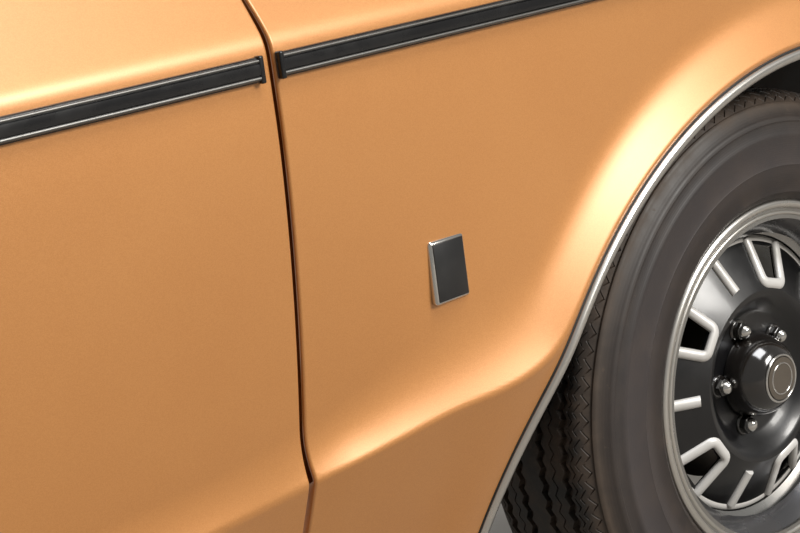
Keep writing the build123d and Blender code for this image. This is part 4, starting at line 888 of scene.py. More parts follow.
@dataclass
class BodyLine:
    """Form of the outer sheet: where its surface stands for any place along and up the side."""

    side: float = -419 * MM
    bottom: float = -100 * MM
    side_low: float = 430 * MM
    side_fall: float = 1.7
    shoulder: float = 488 * MM
    shoulder_round: float = 4.5 * MM
    lean: float = 0.65
    wing_bend: float = 1.85
    door_bend: float = 0.26
    wing_top: float = 553 * MM
    sill: float = 590 * MM
    tuck: float = math.tan(math.radians(22.4))
    arch_x: float = 687 * MM
    arch_top: float = 365 * MM
    rear_radius: float = 503 * MM
    front_radius: float = 400 * MM
    lip: float = -435 * MM
    lip_depth: float = 11 * MM
    flare_proud: float = 3.4 * MM
    flare_slope: float = 0.46
    flare_round: float = 2.6 * MM
    lip_step: float = 1 * MM
    lip_round: float = 14 * MM
    lip_width: float = 4.5 * MM
    lip_slope: float = 0.55
    lip_height: float = 149 * MM
    lip_rise: float = 14 * MM
    lip_blend: float = 10 * MM
    lip_reach: float = 38 * MM
    taper_start: float = 900 * MM
    taper_radius: float = 2.0
    crest_round: float = 0.9 * MM
    crest_swell: float = 0.8
    stations: tuple[tuple[float, float, float, float, float], ...] = (
        (-1.0775, -0.389, 0.100, -0.379, 0.045),
        (-0.500, -0.389, 0.100, -0.379, 0.045),
        (-0.111, -0.389, 0.104, -0.379, 0.045),
        (-0.008, -0.391, 0.1105, -0.379, 0.052),
        (0.043, -0.401, 0.1175, -0.3825, 0.060),
        (0.090, -0.4095, 0.125, -0.3900, 0.072),
        (0.142, -0.418, 0.133, -0.3995, 0.082),
        (0.197, -0.428, 0.139, -0.4095, 0.092),
        (0.245, -0.435, 0.147, -0.4160, 0.098),
        (0.440, -0.436, 0.149, -0.4165, 0.098),
        (0.900, -0.436, 0.149, -0.4165, 0.098),
        (1.110, -0.436, 0.149, -0.4165, 0.098),
        (1.250, -0.425, 0.142, -0.4060, 0.090),
        (1.390, -0.414, 0.136, -0.397, 0.072),
    )

    def station(self, x: np.ndarray, column: int) -> np.ndarray:
        """Read one column of the stations: crest place, crest height, place above it, height of the ledge.

        Args:
            x: Places along the car.
            column: Number of the column, 1 to 4.

        Returns:
            The column's smooth value at each place.
        """
        table = np.array(self.stations)
        xs, ys = table[:, 0], table[:, column]
        slopes = np.gradient(ys, xs)
        level = np.abs(np.diff(ys) / np.diff(xs)) < 1e-9
        slopes[:-1][level] = 0.0
        slopes[1:][level] = 0.0
        at = np.clip(np.searchsorted(xs, x, side="right") - 1, 0, len(xs) - 2)
        span = xs[at + 1] - xs[at]
        t = np.clip((x - xs[at]) / span, 0.0, 1.0)
        return (
            (2 * t**3 - 3 * t**2 + 1) * ys[at]
            + (t**3 - 2 * t**2 + t) * span * slopes[at]
            + (3 * t**2 - 2 * t**3) * ys[at + 1]
            + (t**3 - t**2) * span * slopes[at + 1]
        )

    def taper(self, x: np.ndarray) -> np.ndarray:
        """How far the side has come inboard at the places x."""
        run = np.maximum(x - self.taper_start, 0.0)
        return self.taper_radius - np.sqrt(self.taper_radius**2 - run**2)

    def edge_distance(self, x: np.ndarray, z: np.ndarray) -> np.ndarray:
        """Distance outside the painted edge of the arch, negative inside it."""
        radius = np.where(x < self.arch_x, self.rear_radius, self.front_radius)
        return np.hypot(x - self.arch_x, z - (self.arch_top - radius)) - radius

    def edge_place(self, x: np.ndarray, z: np.ndarray) -> np.ndarray:
        """Where the painted edge of the arch stands across the car, smooth from the tuck into the lip."""
        below = np.logaddexp(0, (self.lip_height - z) / self.lip_round)
        return self.lip - self.lip_step + self.tuck * self.lip_round * below + self.taper(x)

    def surface(self, x: np.ndarray, z: np.ndarray, door: bool) -> np.ndarray:
        """Place of the outer face across the car.

        Args:
            x: Places along the car.
            z: Heights.
            door: True for the door's sheet, which has no arch and rises to the sill.

        Returns:
            The Y of the outer face, more negative further out.
        """
        crest_y, crest_z, low, cove = (self.station(x, column) for column in (1, 2, 3, 4))
        rise = np.clip((z - crest_z) / (self.side_low - crest_z), -0.5, 1.0)
        body = self.side + (low - self.side) * np.power(1 - rise, self.side_fall)
        ledge = 1 - np.clip((z - crest_z) / cove, -0.4, 1.0)
        body = body - (low - crest_y) * (ledge**2 if door else 2 * ledge**3 - ledge**4)
        over = z - self.shoulder
        body = body + self.lean * np.logaddexp(0, over / self.shoulder_round) * self.shoulder_round
        body = body + (self.door_bend if door else self.wing_bend) * np.maximum(over, 0) ** 2
        under = crest_y + (crest_z - z) * self.tuck
        if door:
            return self._soft(body, under, self.crest_round)
        distance = self.edge_distance(x, z)
        shift = self.taper(x)
        flare = self.lip - self.flare_proud + (distance - self.lip_width) * self.flare_slope
        body = -self._soft(-(body + shift), -flare, self.flare_round)
        above = 1 / (1 + np.exp(-(z - crest_z - self.lip_rise) / self.lip_blend))
        face = self.edge_place(x, z) - self.lip_slope * above * distance
        near = np.exp(-((np.maximum(distance, 0) / self.lip_reach) ** 2))
        under = under + shift
        under = under + near * (face - under)
        return self._soft(body, under, self.crest_round * (1 + self.crest_swell * near))

    @staticmethod
    def _soft(first: np.ndarray, second: np.ndarray, width: float | np.ndarray) -> np.ndarray:
        """The greater of two values with a rounded change from one to the other."""
        gap = np.clip(np.abs(first - second) / (4 * width), 0.0, 1.0)
        return np.maximum(first, second) + width * (1 - gap) ** 3 * 0.66

    def sheet(self, x: np.ndarray, z: np.ndarray, door: bool) -> np.ndarray:
        """Points of the outer face with their outward normals.

        Args:
            x: Places along the car, rows by columns.
            z: Heights, rows by columns.
            door: True for the door's sheet.

        Returns:
            Array of rows by columns by 6, the point and then the normal.
        """
        step = 0.4 * MM
        along = (self.surface(x + step, z, door) - self.surface(x - step, z, door)) / (2 * step)
        up = (self.surface(x, z + step, door) - self.surface(x, z - step, door)) / (2 * step)
        normal = np.stack([along, -np.ones_like(along), up], axis=-1)
        normal /= np.linalg.norm(normal, axis=-1, keepdims=True)
        return np.concatenate([np.stack([x, self.surface(x, z, door), z], axis=-1), normal], axis=-1)

    def arch_rows(self, inset: float, rear_count: int, front_count: int) -> np.ndarray:
        """Lay rows along the arch from its rear foot over the top to its front foot.

        Args:
            inset: How far the rows lie inside the painted edge.
            rear_count: Rows on the rear arc.
            front_count: Rows on the front arc, with the one at the top that both share.

        Returns:
            Angle, radius and height of the arc's middle for each row.
        """
        rows = []
        for edge, count, rear in ((self.rear_radius, rear_count, True), (self.front_radius, front_count, False)):
            middle, radius = self.arch_top - edge, edge - inset
            foot = math.asin((self.bottom - middle) / radius)
            top = math.pi / 2
            turns = np.linspace(math.pi - foot, top, count) if rear else np.linspace(top, foot, count)[1:]
            rows += [(turn, radius, middle) for turn in turns]
        return np.array(rows)


@dataclass
class BodySheet:
    """Outer sheets of the wing and the door, with their edges rolled inboard."""

    line: BodyLine = field(default_factory=BodyLine)
    wing_rear: float = 2.5 * MM
    wing_front: float = 1.390
    door_front: float = -2.5 * MM
    door_rear: float = -1.0775
    thickness: float = 1.2 * MM
    roll: float = 2.6 * MM
    roll_turns: tuple[float, ...] = (22.5, 45.0, 67.5, 90.0)
    shut_depth: float = 1.4 * MM
    hem_depth: float = 9 * MM
    foot_depth: float = 34 * MM
    foot_run: float = 14 * MM
    arch_counts: tuple[int, int] = (230, 176)
    fan_rows: int = 110
    fan_pull: float = 160 * MM
    fan_even: float = 0.30
    wing_marks: Outline = ((0.289, 0.150), (0.470, 0.300), (0.687, 0.365), (0.930, 0.270), (1.035, 0.140))
    top_x: float = 0.700
    crest_feet: Point = (0.114, 0.136)
    door_split: float = -0.20
    door_columns: tuple[int, int] = (120, 70)
    door_ledge: float = 90 * MM
    door_waist: float = 440 * MM
    door_rows: tuple[int, ...] = (30, 40, 60, 60)

    def rolled(self, sheet: np.ndarray, out: Triple | np.ndarray, depth: np.ndarray | None = None) -> np.ndarray:
        """Roll the last row of a sheet inboard and carry it on as a flange.

        Args:
            sheet: Points with their normals, rows by columns by 6.
            out: Direction that leads off the sheet, or one for each point of the row.
            depth: Depth of the flange at each point, or None for the plain hem.

        Returns:
            The sheet with the rows of the roll and the flange added.
        """
        inboard = np.array([0.0, 1.0, 0.0])
        edge, facing = sheet[-1, :, :3], sheet[-1, :, 3:]
        out = np.broadcast_to(out, edge.shape)
        rows = []
        for turn in np.radians(self.roll_turns):
            place = edge + self.roll * (math.sin(turn) * out + (1 - math.cos(turn)) * inboard)
            normal = math.cos(turn) * facing + math.sin(turn) * out
            rows.append(np.hstack([place, normal / np.linalg.norm(normal, axis=-1, keepdims=True)]))
        flange = rows[-1].copy()
        flange[:, 1] += self.hem_depth if depth is None else depth
        return np.concatenate([sheet, np.stack([*rows, flange])])

    def border_points(self, inner: np.ndarray) -> np.ndarray:
        """Points on the wing's rear, top and front edges that answer the arch points."""
        line = self.line
        lengths = np.concatenate([[0], np.cumsum(np.linalg.norm(np.diff(inner, axis=0), axis=1))])
        keys = [lengths[np.argmin(np.hypot(*(inner - np.array(mark)).T))] for mark in self.wing_marks]
        rear, front, top = self.wing_rear + self.roll, self.wing_front - self.roll, line.wing_top - self.roll
        xs = [rear, rear, rear, self.top_x, front, front, front]
        zs = [line.bottom, self.crest_feet[0], top, top, top, self.crest_feet[1], line.bottom]
        keys = [0.0, *keys, lengths[-1]]
        return np.stack([np.interp(lengths, keys, xs), np.interp(lengths, keys, zs)], axis=-1)

    def wing(self) -> bpy.types.Object:
        """Build the wing's sheet as a fan of rows from the arch to its outer border."""
        line = self.line
        turn, radius, height = line.arch_rows(line.lip_depth, *self.arch_counts).T
        inner = np.stack([line.arch_x + radius * np.cos(turn), height + radius * np.sin(turn)], axis=-1)
        outer = self.border_points(inner)
        tangent = np.gradient(inner, axis=0)
        normal = np.stack([-tangent[:, 1], tangent[:, 0]], axis=-1)
        normal /= np.linalg.norm(normal, axis=1, keepdims=True)
        reach = np.linalg.norm(outer - inner, axis=1)
        middle = inner + normal * np.minimum(0.5 * reach, self.fan_pull)[:, None]
        t = np.linspace(0, 1, self.fan_rows + 1)[:, None, None]
        s = self.fan_even * t + (1 - self.fan_even) * t**2
        flat = (1 - s) ** 2 * inner + 2 * s * (1 - s) * middle + s**2 * outer
        near = self.roll * 1.01
        across = np.where(outer[:, 0] < self.wing_rear + near, -1.0, 0.0)
        across = np.where(outer[:, 0] > self.wing_front - near, 1.0, across)
        upward = np.where(outer[:, 1] > line.wing_top - near, 1.0, 0.0)
        out = np.stack([across, np.zeros_like(across), upward], axis=-1)
        below = np.clip((line.stations[3][2] - outer[:, 1]) / self.foot_run, 0.0, 1.0)
        shut = self.shut_depth + (self.foot_depth - self.shut_depth) * below
        depth = np.where((across < 0) & (upward == 0), shut, self.hem_depth)
        sheet = self.rolled(line.sheet(flat[..., 0], flat[..., 1], False), out, depth)
        return Bench.grid("wing_sheet", sheet[..., :3], sheet[..., 3:])

    def door(self) -> bpy.types.Object:
        """Build the door's sheet as rows that follow its lower crease."""
        line = self.line
        rear, front, split = self.door_rear + self.roll, self.door_front - self.roll, self.door_split
        behind, ahead = self.door_columns
        xs = np.concatenate([np.linspace(rear, split, behind)[:-1], np.linspace(split, front, ahead)])
        crest, level = line.station(xs, 2), np.ones_like(xs)
        foot, waist, sill = (line.bottom + self.roll) * level, self.door_waist * level, line.sill * level
        marks = [foot, crest, crest + self.door_ledge, waist, sill]
        rows = []
        for first, second, count in zip(marks, marks[1:], self.door_rows):
            rows += [first + (second - first) * t for t in np.linspace(0, 1, count, endpoint=second is sill)]
        z = np.stack(rows)
        sheet = line.sheet(np.broadcast_to(xs, z.shape), z, True)
        sheet = self.rolled(sheet[::-1], (0.0, 0.0, -1.0))[::-1].transpose(1, 0, 2)
        sheet = self.rolled(sheet, (1.0, 0.0, 0.0))
        sheet = self.rolled(sheet[::-1], (-1.0, 0.0, 0.0))[::-1].transpose(1, 0, 2)
        return Bench.grid("door_sheet", sheet[..., :3], sheet[..., 3:])

    def build(self) -> None:
        """Build and dress both sheets."""
        for sheet, body, node in ((self.wing(), Body.SHELL, "front_wing"), (self.door(), Body.DOOR, "door_skin")):
            Bench.apply(sheet, "SOLIDIFY", thickness=self.thickness, offset=-1, use_rim=True)
            placed(sheet, PAINT, body, [node])


@dataclass
class RoadWheel:
    """Road wheel: tyre, rim, bright ring, dished disc with framed windows, nuts and cap.

    The sections and the tables of the tyre are in millimetres: a place across the car, from the rim's outer
    face or from the tyre's middle, and a radius.
    """

    axle: Vector = field(default_factory=lambda: Vector((0.668, 0.0, 0.0)))
    face: float = -370 * MM
    width: float = 152 * MM
    tyre_radius: float = 316 * MM
    dish: float = -353 * MM
    hub_face: float = -329 * MM
    bolt_circle: float = 112 * MM
    count: int = 5
    nut_angle: float = 34.0
    window_angle: float = 71.5
    bar_angle: float = 106.5
    crown: float = 96 * MM
    slope: float = 0.495
    zigzags: int = 108
    zigzag_steps: int = 12
    wave: float = 2.6 * MM
    wave_edge: float = 71 * MM
    lug_edge: float = 53 * MM
    lug_share: float = 0.24
    lug_lag: float = 77
    wall_foot: Outline = ((-72.5, 176), (-72.5, 193))
    wall_span: Point = (197, 302)
    wall_place: float = 73.5
    wall_bulge: float = 14.5
    wall_rings: Outline = (
        (199, 0.3), (204, 2.2), (209, 0.4), (232, 0), (233.5, 0.7), (235, 0), (262, 0), (263.5, 0.8),
        (268, 0.8), (269.5, 0), (279, 0), (280.5, 0.9), (284, 0.9), (285.5, 0),
    )
    wall_shoulder: Outline = (
        (-78.5, 292.5), (-77.5, 296.6), (-76.3, 299.2), (-74.9, 300.5), (-73.6, 300.7), (-72, 298.6),
    )
    belt: Point = (-66, 297)
    lining: Outline = ((66, 190), (78, 246), (64, 292))
    tread_places: tuple[float, ...] = (0, 8, 25, 38, 59, 65, 73, 75)
    grooves: tuple[float, ...] = (16.5, 47)
    groove_size: Triple = (4.2, 1.2, 7.5)
    sipes: tuple[float, ...] = (31.5, 55.5, 62, 68.5)
    sipe_size: Triple = (0.8, 0.3, 2.2)
    rim_section: Outline = (
        (0.8, 194.5), (3, 195), (3.5, 177.8), (34, 177.8), (44, 158), (74, 158), (84, 177.8), (148.5, 177.8),
        (148.5, 195), (152, 195), (152, 174.5), (85.5, 174.5), (75.5, 154.5), (42.5, 154.5), (32.5, 173.5),
        (0.8, 174.5),
    )
    ring_section: Outline = (
        (0.6, 196.2), *arc((1.2, 190.8), 5.0, 75, 262, 14), (2.4, 185.2), (2.6, 184.2),
        *arc((1.4, 181.0), 2.4, 100, 262, 10), (2.2, 177.5), (4, 178.5), (3, 186), (3.4, 192),
    )
    slope_section: Outline = (
        (2.4, 178.2), (5, 174.2), (13.5, 165.5), (23, 158.8), (26.2, 157.2), (26.8, 158.6), (15, 167.6), (4, 178.5),
    )
    window_low: float = 101.5 * MM
    window_halves: Point = (17.5 * MM, 26.2 * MM)
    window_corner: float = 7.5 * MM
    window_inset: float = 4.5 * MM
    window_ends: Point = (142.5 * MM, 145.5 * MM)
    frame_size: Point = (12.6 * MM, 4.2 * MM)
    bar_span: Point = (106 * MM, 40 * MM)
    bar_size: Point = (12.8 * MM, 4.5 * MM)
    disc_foot: float = 146.5 * MM

    @property
    def middle(self) -> float:
        """Place of the rim's and the tyre's middle across the car."""
        return self.face + self.width / 2

    def at(self, radius: float, angle: float, side: float, y: float) -> Vector:
        """Find a point seen from the side.

        Args:
            radius: Distance from the axle.
            angle: Angle of that radius, in degrees.
            side: Distance square to that radius.
            y: Place across the car.

        Returns:
            The point.
        """
        along = Vector((math.cos(math.radians(angle)), 0, math.sin(math.radians(angle))))
        return Vector((self.axle.x, y, self.axle.z)) + radius * along + side * Vector((-along.z, 0, along.x))

    def on_slope(self, radius: float, angle: float, side: float) -> Vector:
        """Find a point on the falling face of the disc.

        Args:
            radius: Distance from the axle.
            angle: Angle of that radius, in degrees.
            side: Distance square to that radius.

        Returns:
            The point.
        """
        fall = max(0.0, math.hypot(radius, side) - self.crown) * self.slope
        return self.at(radius, angle, side, self.dish + fall)

    def turn(self, name: str, section: Outline, steps: int, smooth: float) -> bpy.types.Object:
        """Turn a section about the axle and shade it smooth.

        Args:
            name: Name of the piece.
            section: Closed outline as place across the car and radius.
            steps: Steps of the full turn.
            smooth: Angle up to which edges are smoothed, in degrees.

        Returns:
            The turned piece.
        """
        return Bench.smooth(Bench.turned(name, section, self.axle, steps), smooth)

    def mirrored(self, points: Outline) -> list[Point]:
        """The same points on the other side of the tyre, in the opposite order."""
        return [(2 * self.middle - y, radius) for y, radius in reversed(points)]

    def wall(self) -> list[Point]:
        """Outer wall of the tyre from the bead to the shoulder, with its moulded rings."""
        low, high = self.wall_span
        points = list(self.wall_foot)
        for radius, proud in self.wall_rings:
            reach = 0.08 + (radius - low) / (high - low) * 0.80
            bulge = math.sin(math.pi * min(1.0, reach)) ** 0.7
            points.append((-self.wall_place - self.wall_bulge * bulge - proud, radius))
        return metres([*points, *self.wall_shoulder], self.middle)

    def tread_columns(self) -> tuple[np.ndarray, np.ndarray]:
        """Places across the tread with the depth of the rubber cut away at each."""
        columns = {(place, 0.0) for place in self.tread_places}
        for cuts, (half, bevel, deep) in ((self.grooves, self.groove_size), (self.sipes, self.sipe_size)):
            for cut in cuts:
                columns |= {(cut - half, 0.0), (cut - half + bevel, deep), (cut + half - bevel, deep), (cut + half, 0.0)}
        columns |= {(-place, deep) for place, deep in columns}
        place, deep = np.array(sorted(columns)).T * MM
        return place, deep

    def tread(self) -> bpy.types.Object:
        """Build the tread with its zigzag grooves."""
        place, level = self.tread_columns()
        turn = np.linspace(0, 2 * np.pi, self.zigzags * self.zigzag_steps, endpoint=False)
        turn, place = np.meshgrid(turn, place, indexing="ij")
        away = np.abs(place)
        phase = np.mod(turn * self.zigzags / (2 * np.pi), 1.0)
        broken = (np.mod(phase + away * self.lug_lag, 1.0) < self.lug_share) & (away > self.lug_edge)
        y = place + (np.abs(phase - 0.5) * 4 - 1) * self.wave * np.where(away < self.wave_edge, 1.0, 0.0)
        radius = self.tyre_radius - 4 * MM * (np.abs(y) / (60 * MM)) ** 3
        radius -= 9 * MM * np.clip((np.abs(y) - 58 * MM) / (15 * MM), 0, 1) ** 1.6
        radius -= np.where(broken, 0.0, level)
        round_x, round_z = self.axle.x + radius * np.cos(turn), self.axle.z + radius * np.sin(turn)
        points = np.stack([round_x, self.middle + y, round_z], axis=-1)
        return Bench.weld(Bench.grid("tyre_tread", np.concatenate([points, points[:1]])), 0.01 * MM)

    def tyre(self) -> None:
        """Build the walls and the tread."""
        left, belt, lining = self.wall(), metres([self.belt], self.middle), metres(self.lining, self.middle)
        section = [*left, *belt, *self.mirrored(belt), *self.mirrored(left), *lining, *self.mirrored(lining)]
        placed(self.turn("tyre_walls", section, 180, 30), TYRE, Body.WHEEL, ["tyre"])
        placed(Bench.smooth(self.tread(), 24), TYRE, Body.WHEEL)

    def rim(self) -> None:
        """Build the rim, the bright ring over its outer flange, and the ring's inner slope in a dark grey that paints
        the shade on the silver metal there.
        """
        rim = self.turn("rim_barrel", metres(self.rim_section, self.face), 160, 30)
        placed(rim, STEEL, Body.WHEEL, ["rim"])
        ring = self.turn("rim_trim_ring_bright", metres(self.ring_section, self.face), 180, 40)
        placed(ring, SATIN_BRIGHT, Body.WHEEL, ["rim_trim_ring"])
        # The inner slope below the bright ring is coloured dark grey: painted shade on silver metal.
        slope = self.turn("rim_trim_ring_slope", metres(self.slope_section, self.face), 180, 40)
        placed(slope, RIM_PAINTED_SHADE, Body.WHEEL)

    def window_path(self, inset: float, outer: float) -> list[Point]:
        """Lay a U-shaped path round one window, open to the outside.

        Args:
            inset: How far the path lies inside the middle of the window's frame.
            outer: Radius where the path ends.

        Returns:
            The path as radius and side offset.
        """
        half_low, half_high = (half - inset for half in self.window_halves)
        corner = self.window_corner - inset * 0.6
        bend = arc((self.window_low + inset + corner, half_low - corner), corner, 180, 100, 6)
        (end, half), steps = bend[-1], 6
        leg = [(outer + (end - outer) * k / steps, half_high + (half - half_high) * k / steps) for k in range(steps)]
        path = [*leg, *reversed(bend)]
        return [*path, *((radius, -side) for radius, side in reversed(path))]

    def window_cutters(self) -> bpy.types.Object:
        """Build the blocks that cut the windows into the disc."""
        cutters = []
        for step in range(self.count):
            angle = self.window_angle + 360 / self.count * step
            path = self.window_path(self.window_inset, self.window_ends[0])
            Bench.clear()
            bpy.ops.mesh.primitive_circle_add(vertices=len(path), radius=0.02, fill_type="NGON")
            cutter = Bench.named("window_cutter")
            for vertex, (radius, side) in zip(cutter.data.vertices, path):
                vertex.co = self.at(radius, angle, side, self.dish - 30 * MM)
            with Bench.editing(cutter):
                Bench.pull((0, 90 * MM, 0))
            cutters.append(Bench.weld(cutter, Bench.FINE))
        return Bench.joined("window_cutters", cutters)

    def disc(self) -> None:
        """Build the crowned disc, cut its windows and lay on frames, bars and the outer ring."""
        dish, hub, face = self.dish, self.hub_face, self.face
        foot = dish + (self.disc_foot - self.crown) * self.slope
        section = [
            (hub - 0.0035, 0.030), (hub - 0.0035, 0.066), (hub - 0.0055, 0.071), (hub - 0.014, 0.079),
            (dish + 0.003, 0.0865), (dish + 0.0004, 0.091), (dish, self.crown), (foot, self.disc_foot),
            (foot + 0.004, 0.1525), (face + 0.054, 0.1545), (face + 0.062, 0.1545), (face + 0.062, 0.151),
            (face + 0.055, 0.151), (foot + 0.0045, 0.1445), (dish + 0.004, 0.094), (hub - 0.0105, 0.080),
            (hub, 0.074), (hub, 0.030),
        ]
        disc = Bench.turned("disc_pressing", section, self.axle, 160)
        cutter = self.window_cutters()
        Bench.apply(disc, "BOOLEAN", operation="DIFFERENCE", object=cutter, solver="EXACT")
        bpy.data.objects.remove(cutter)
        placed(Bench.smooth(disc, 30), DISC_BLACK, Body.WHEEL, ["wheel_disc"])
        edge = self.window_path(0.0, self.window_ends[1])
        frame_path = [self.on_slope(radius, self.window_angle, side) for radius, side in edge]
        start, length = self.bar_span
        bar_path = [self.on_slope(start + length * step / 6, self.bar_angle, 0.0) for step in range(7)]
        ribs = (("window_frames", frame_path, self.frame_size), ("disc_bars", bar_path, self.bar_size))
        for name, path, size in ribs:
            rib = Bench.around(Bench.rib(name, path, *size), self.axle, self.count)
            placed(rib, WHEEL_SILVER, Body.WHEEL)
        round_ring = [(foot + 0.0032 + y * 0.6, 0.1482 + r) for y, r in arc((0.0, 0.0), 0.0052, 0, 360, 18)[:-1]]
        ring = self.turn("disc_outer_ring", round_ring, 160, 60)
        placed(ring, WHEEL_SILVER, Body.WHEEL)

    def nuts(self) -> None:
        """Build the five domed nuts on their raised black seats."""
        seat, across = self.hub_face - 6.5 * MM, (math.pi / 2, 0, 0)
        foot, center, top = (
            self.at(self.bolt_circle / 2, self.nut_angle, 0, seat + rise * MM) for rise in (1.5, -3.2, -6.4)
        )
        Bench.clear()
        bpy.ops.mesh.primitive_cone_add(
            vertices=40, radius1=13.5 * MM, radius2=11.8 * MM, depth=3 * MM, location=foot, rotation=across
        )
        cone = Bench.apply(Bench.named("nut_seat"), "BEVEL", width=0.8 * MM, segments=3)
        Bench.clear()
        bpy.ops.mesh.primitive_cylinder_add(
            vertices=6, radius=10.4 * MM, depth=7 * MM, location=center, rotation=across
        )
        hexagon = Bench.apply(Bench.named("nut_hexagon"), "BEVEL", width=0.9 * MM, segments=3)
        bases = Bench.around(Bench.joined("nut_bases", [cone, hexagon]), self.axle, self.count)
        placed(Bench.smooth(bases, 35), GLOSS_BLACK, Body.WHEEL, ["wheel_nuts"])
        Bench.clear()
        bpy.ops.mesh.primitive_uv_sphere_add(
            segments=40, ring_count=20, radius=8.4 * MM, location=top, rotation=across
        )
        domes = Bench.around(Bench.named("nut_domes"), self.axle, self.count)
        placed(Bench.smooth(domes, 60), BRIGHT, Body.WHEEL)

    def cap(self) -> None:
        """Build the dark dome of the hub and the ringed cap on it."""
        foot, top = self.hub_face - 3.5 * MM, self.face
        dome = [
            (foot, 0.0), (foot, 0.047), (foot - 0.005, 0.0475), (foot - 0.018, 0.045), (top + 0.006, 0.039),
            (top - 0.001, 0.032), (top - 0.004, 0.0275), (top - 0.004, 0.0),
        ]
        body = Bench.apply(Bench.turned("hub_dome", dome, self.axle, 96), "BEVEL", width=1.5 * MM, segments=3)
        placed(Bench.smooth(body, 40), GLOSS_BLACK, Body.WHEEL, ["centre_cap"])
        outer = metres(arc((-4.6, 25.8), 1.6, 0, 360, 14)[:-1], top)
        inner = metres(arc((-6.4, 17.2), 0.9, 0, 360, 10)[:-1], top)
        rings = [Bench.turned(name, ring, self.axle, 72) for name, ring in (("outer", outer), ("inner", inner))]
        placed(Bench.smooth(Bench.joined("cap_rings", rings), 40), BRIGHT, Body.WHEEL)
        plate = metres([(-2, 0), (-2, 23.5), (-6.2, 23.5), (-6.6, 16), (-5.8, 0)], top)
        placed(self.turn("cap_face", plate, 72, 40), CAP_GREY, Body.WHEEL)

    def build(self) -> None:
        """Build the whole wheel."""
        for step in (self.tyre, self.rim, self.disc, self.nuts, self.cap):
            step()


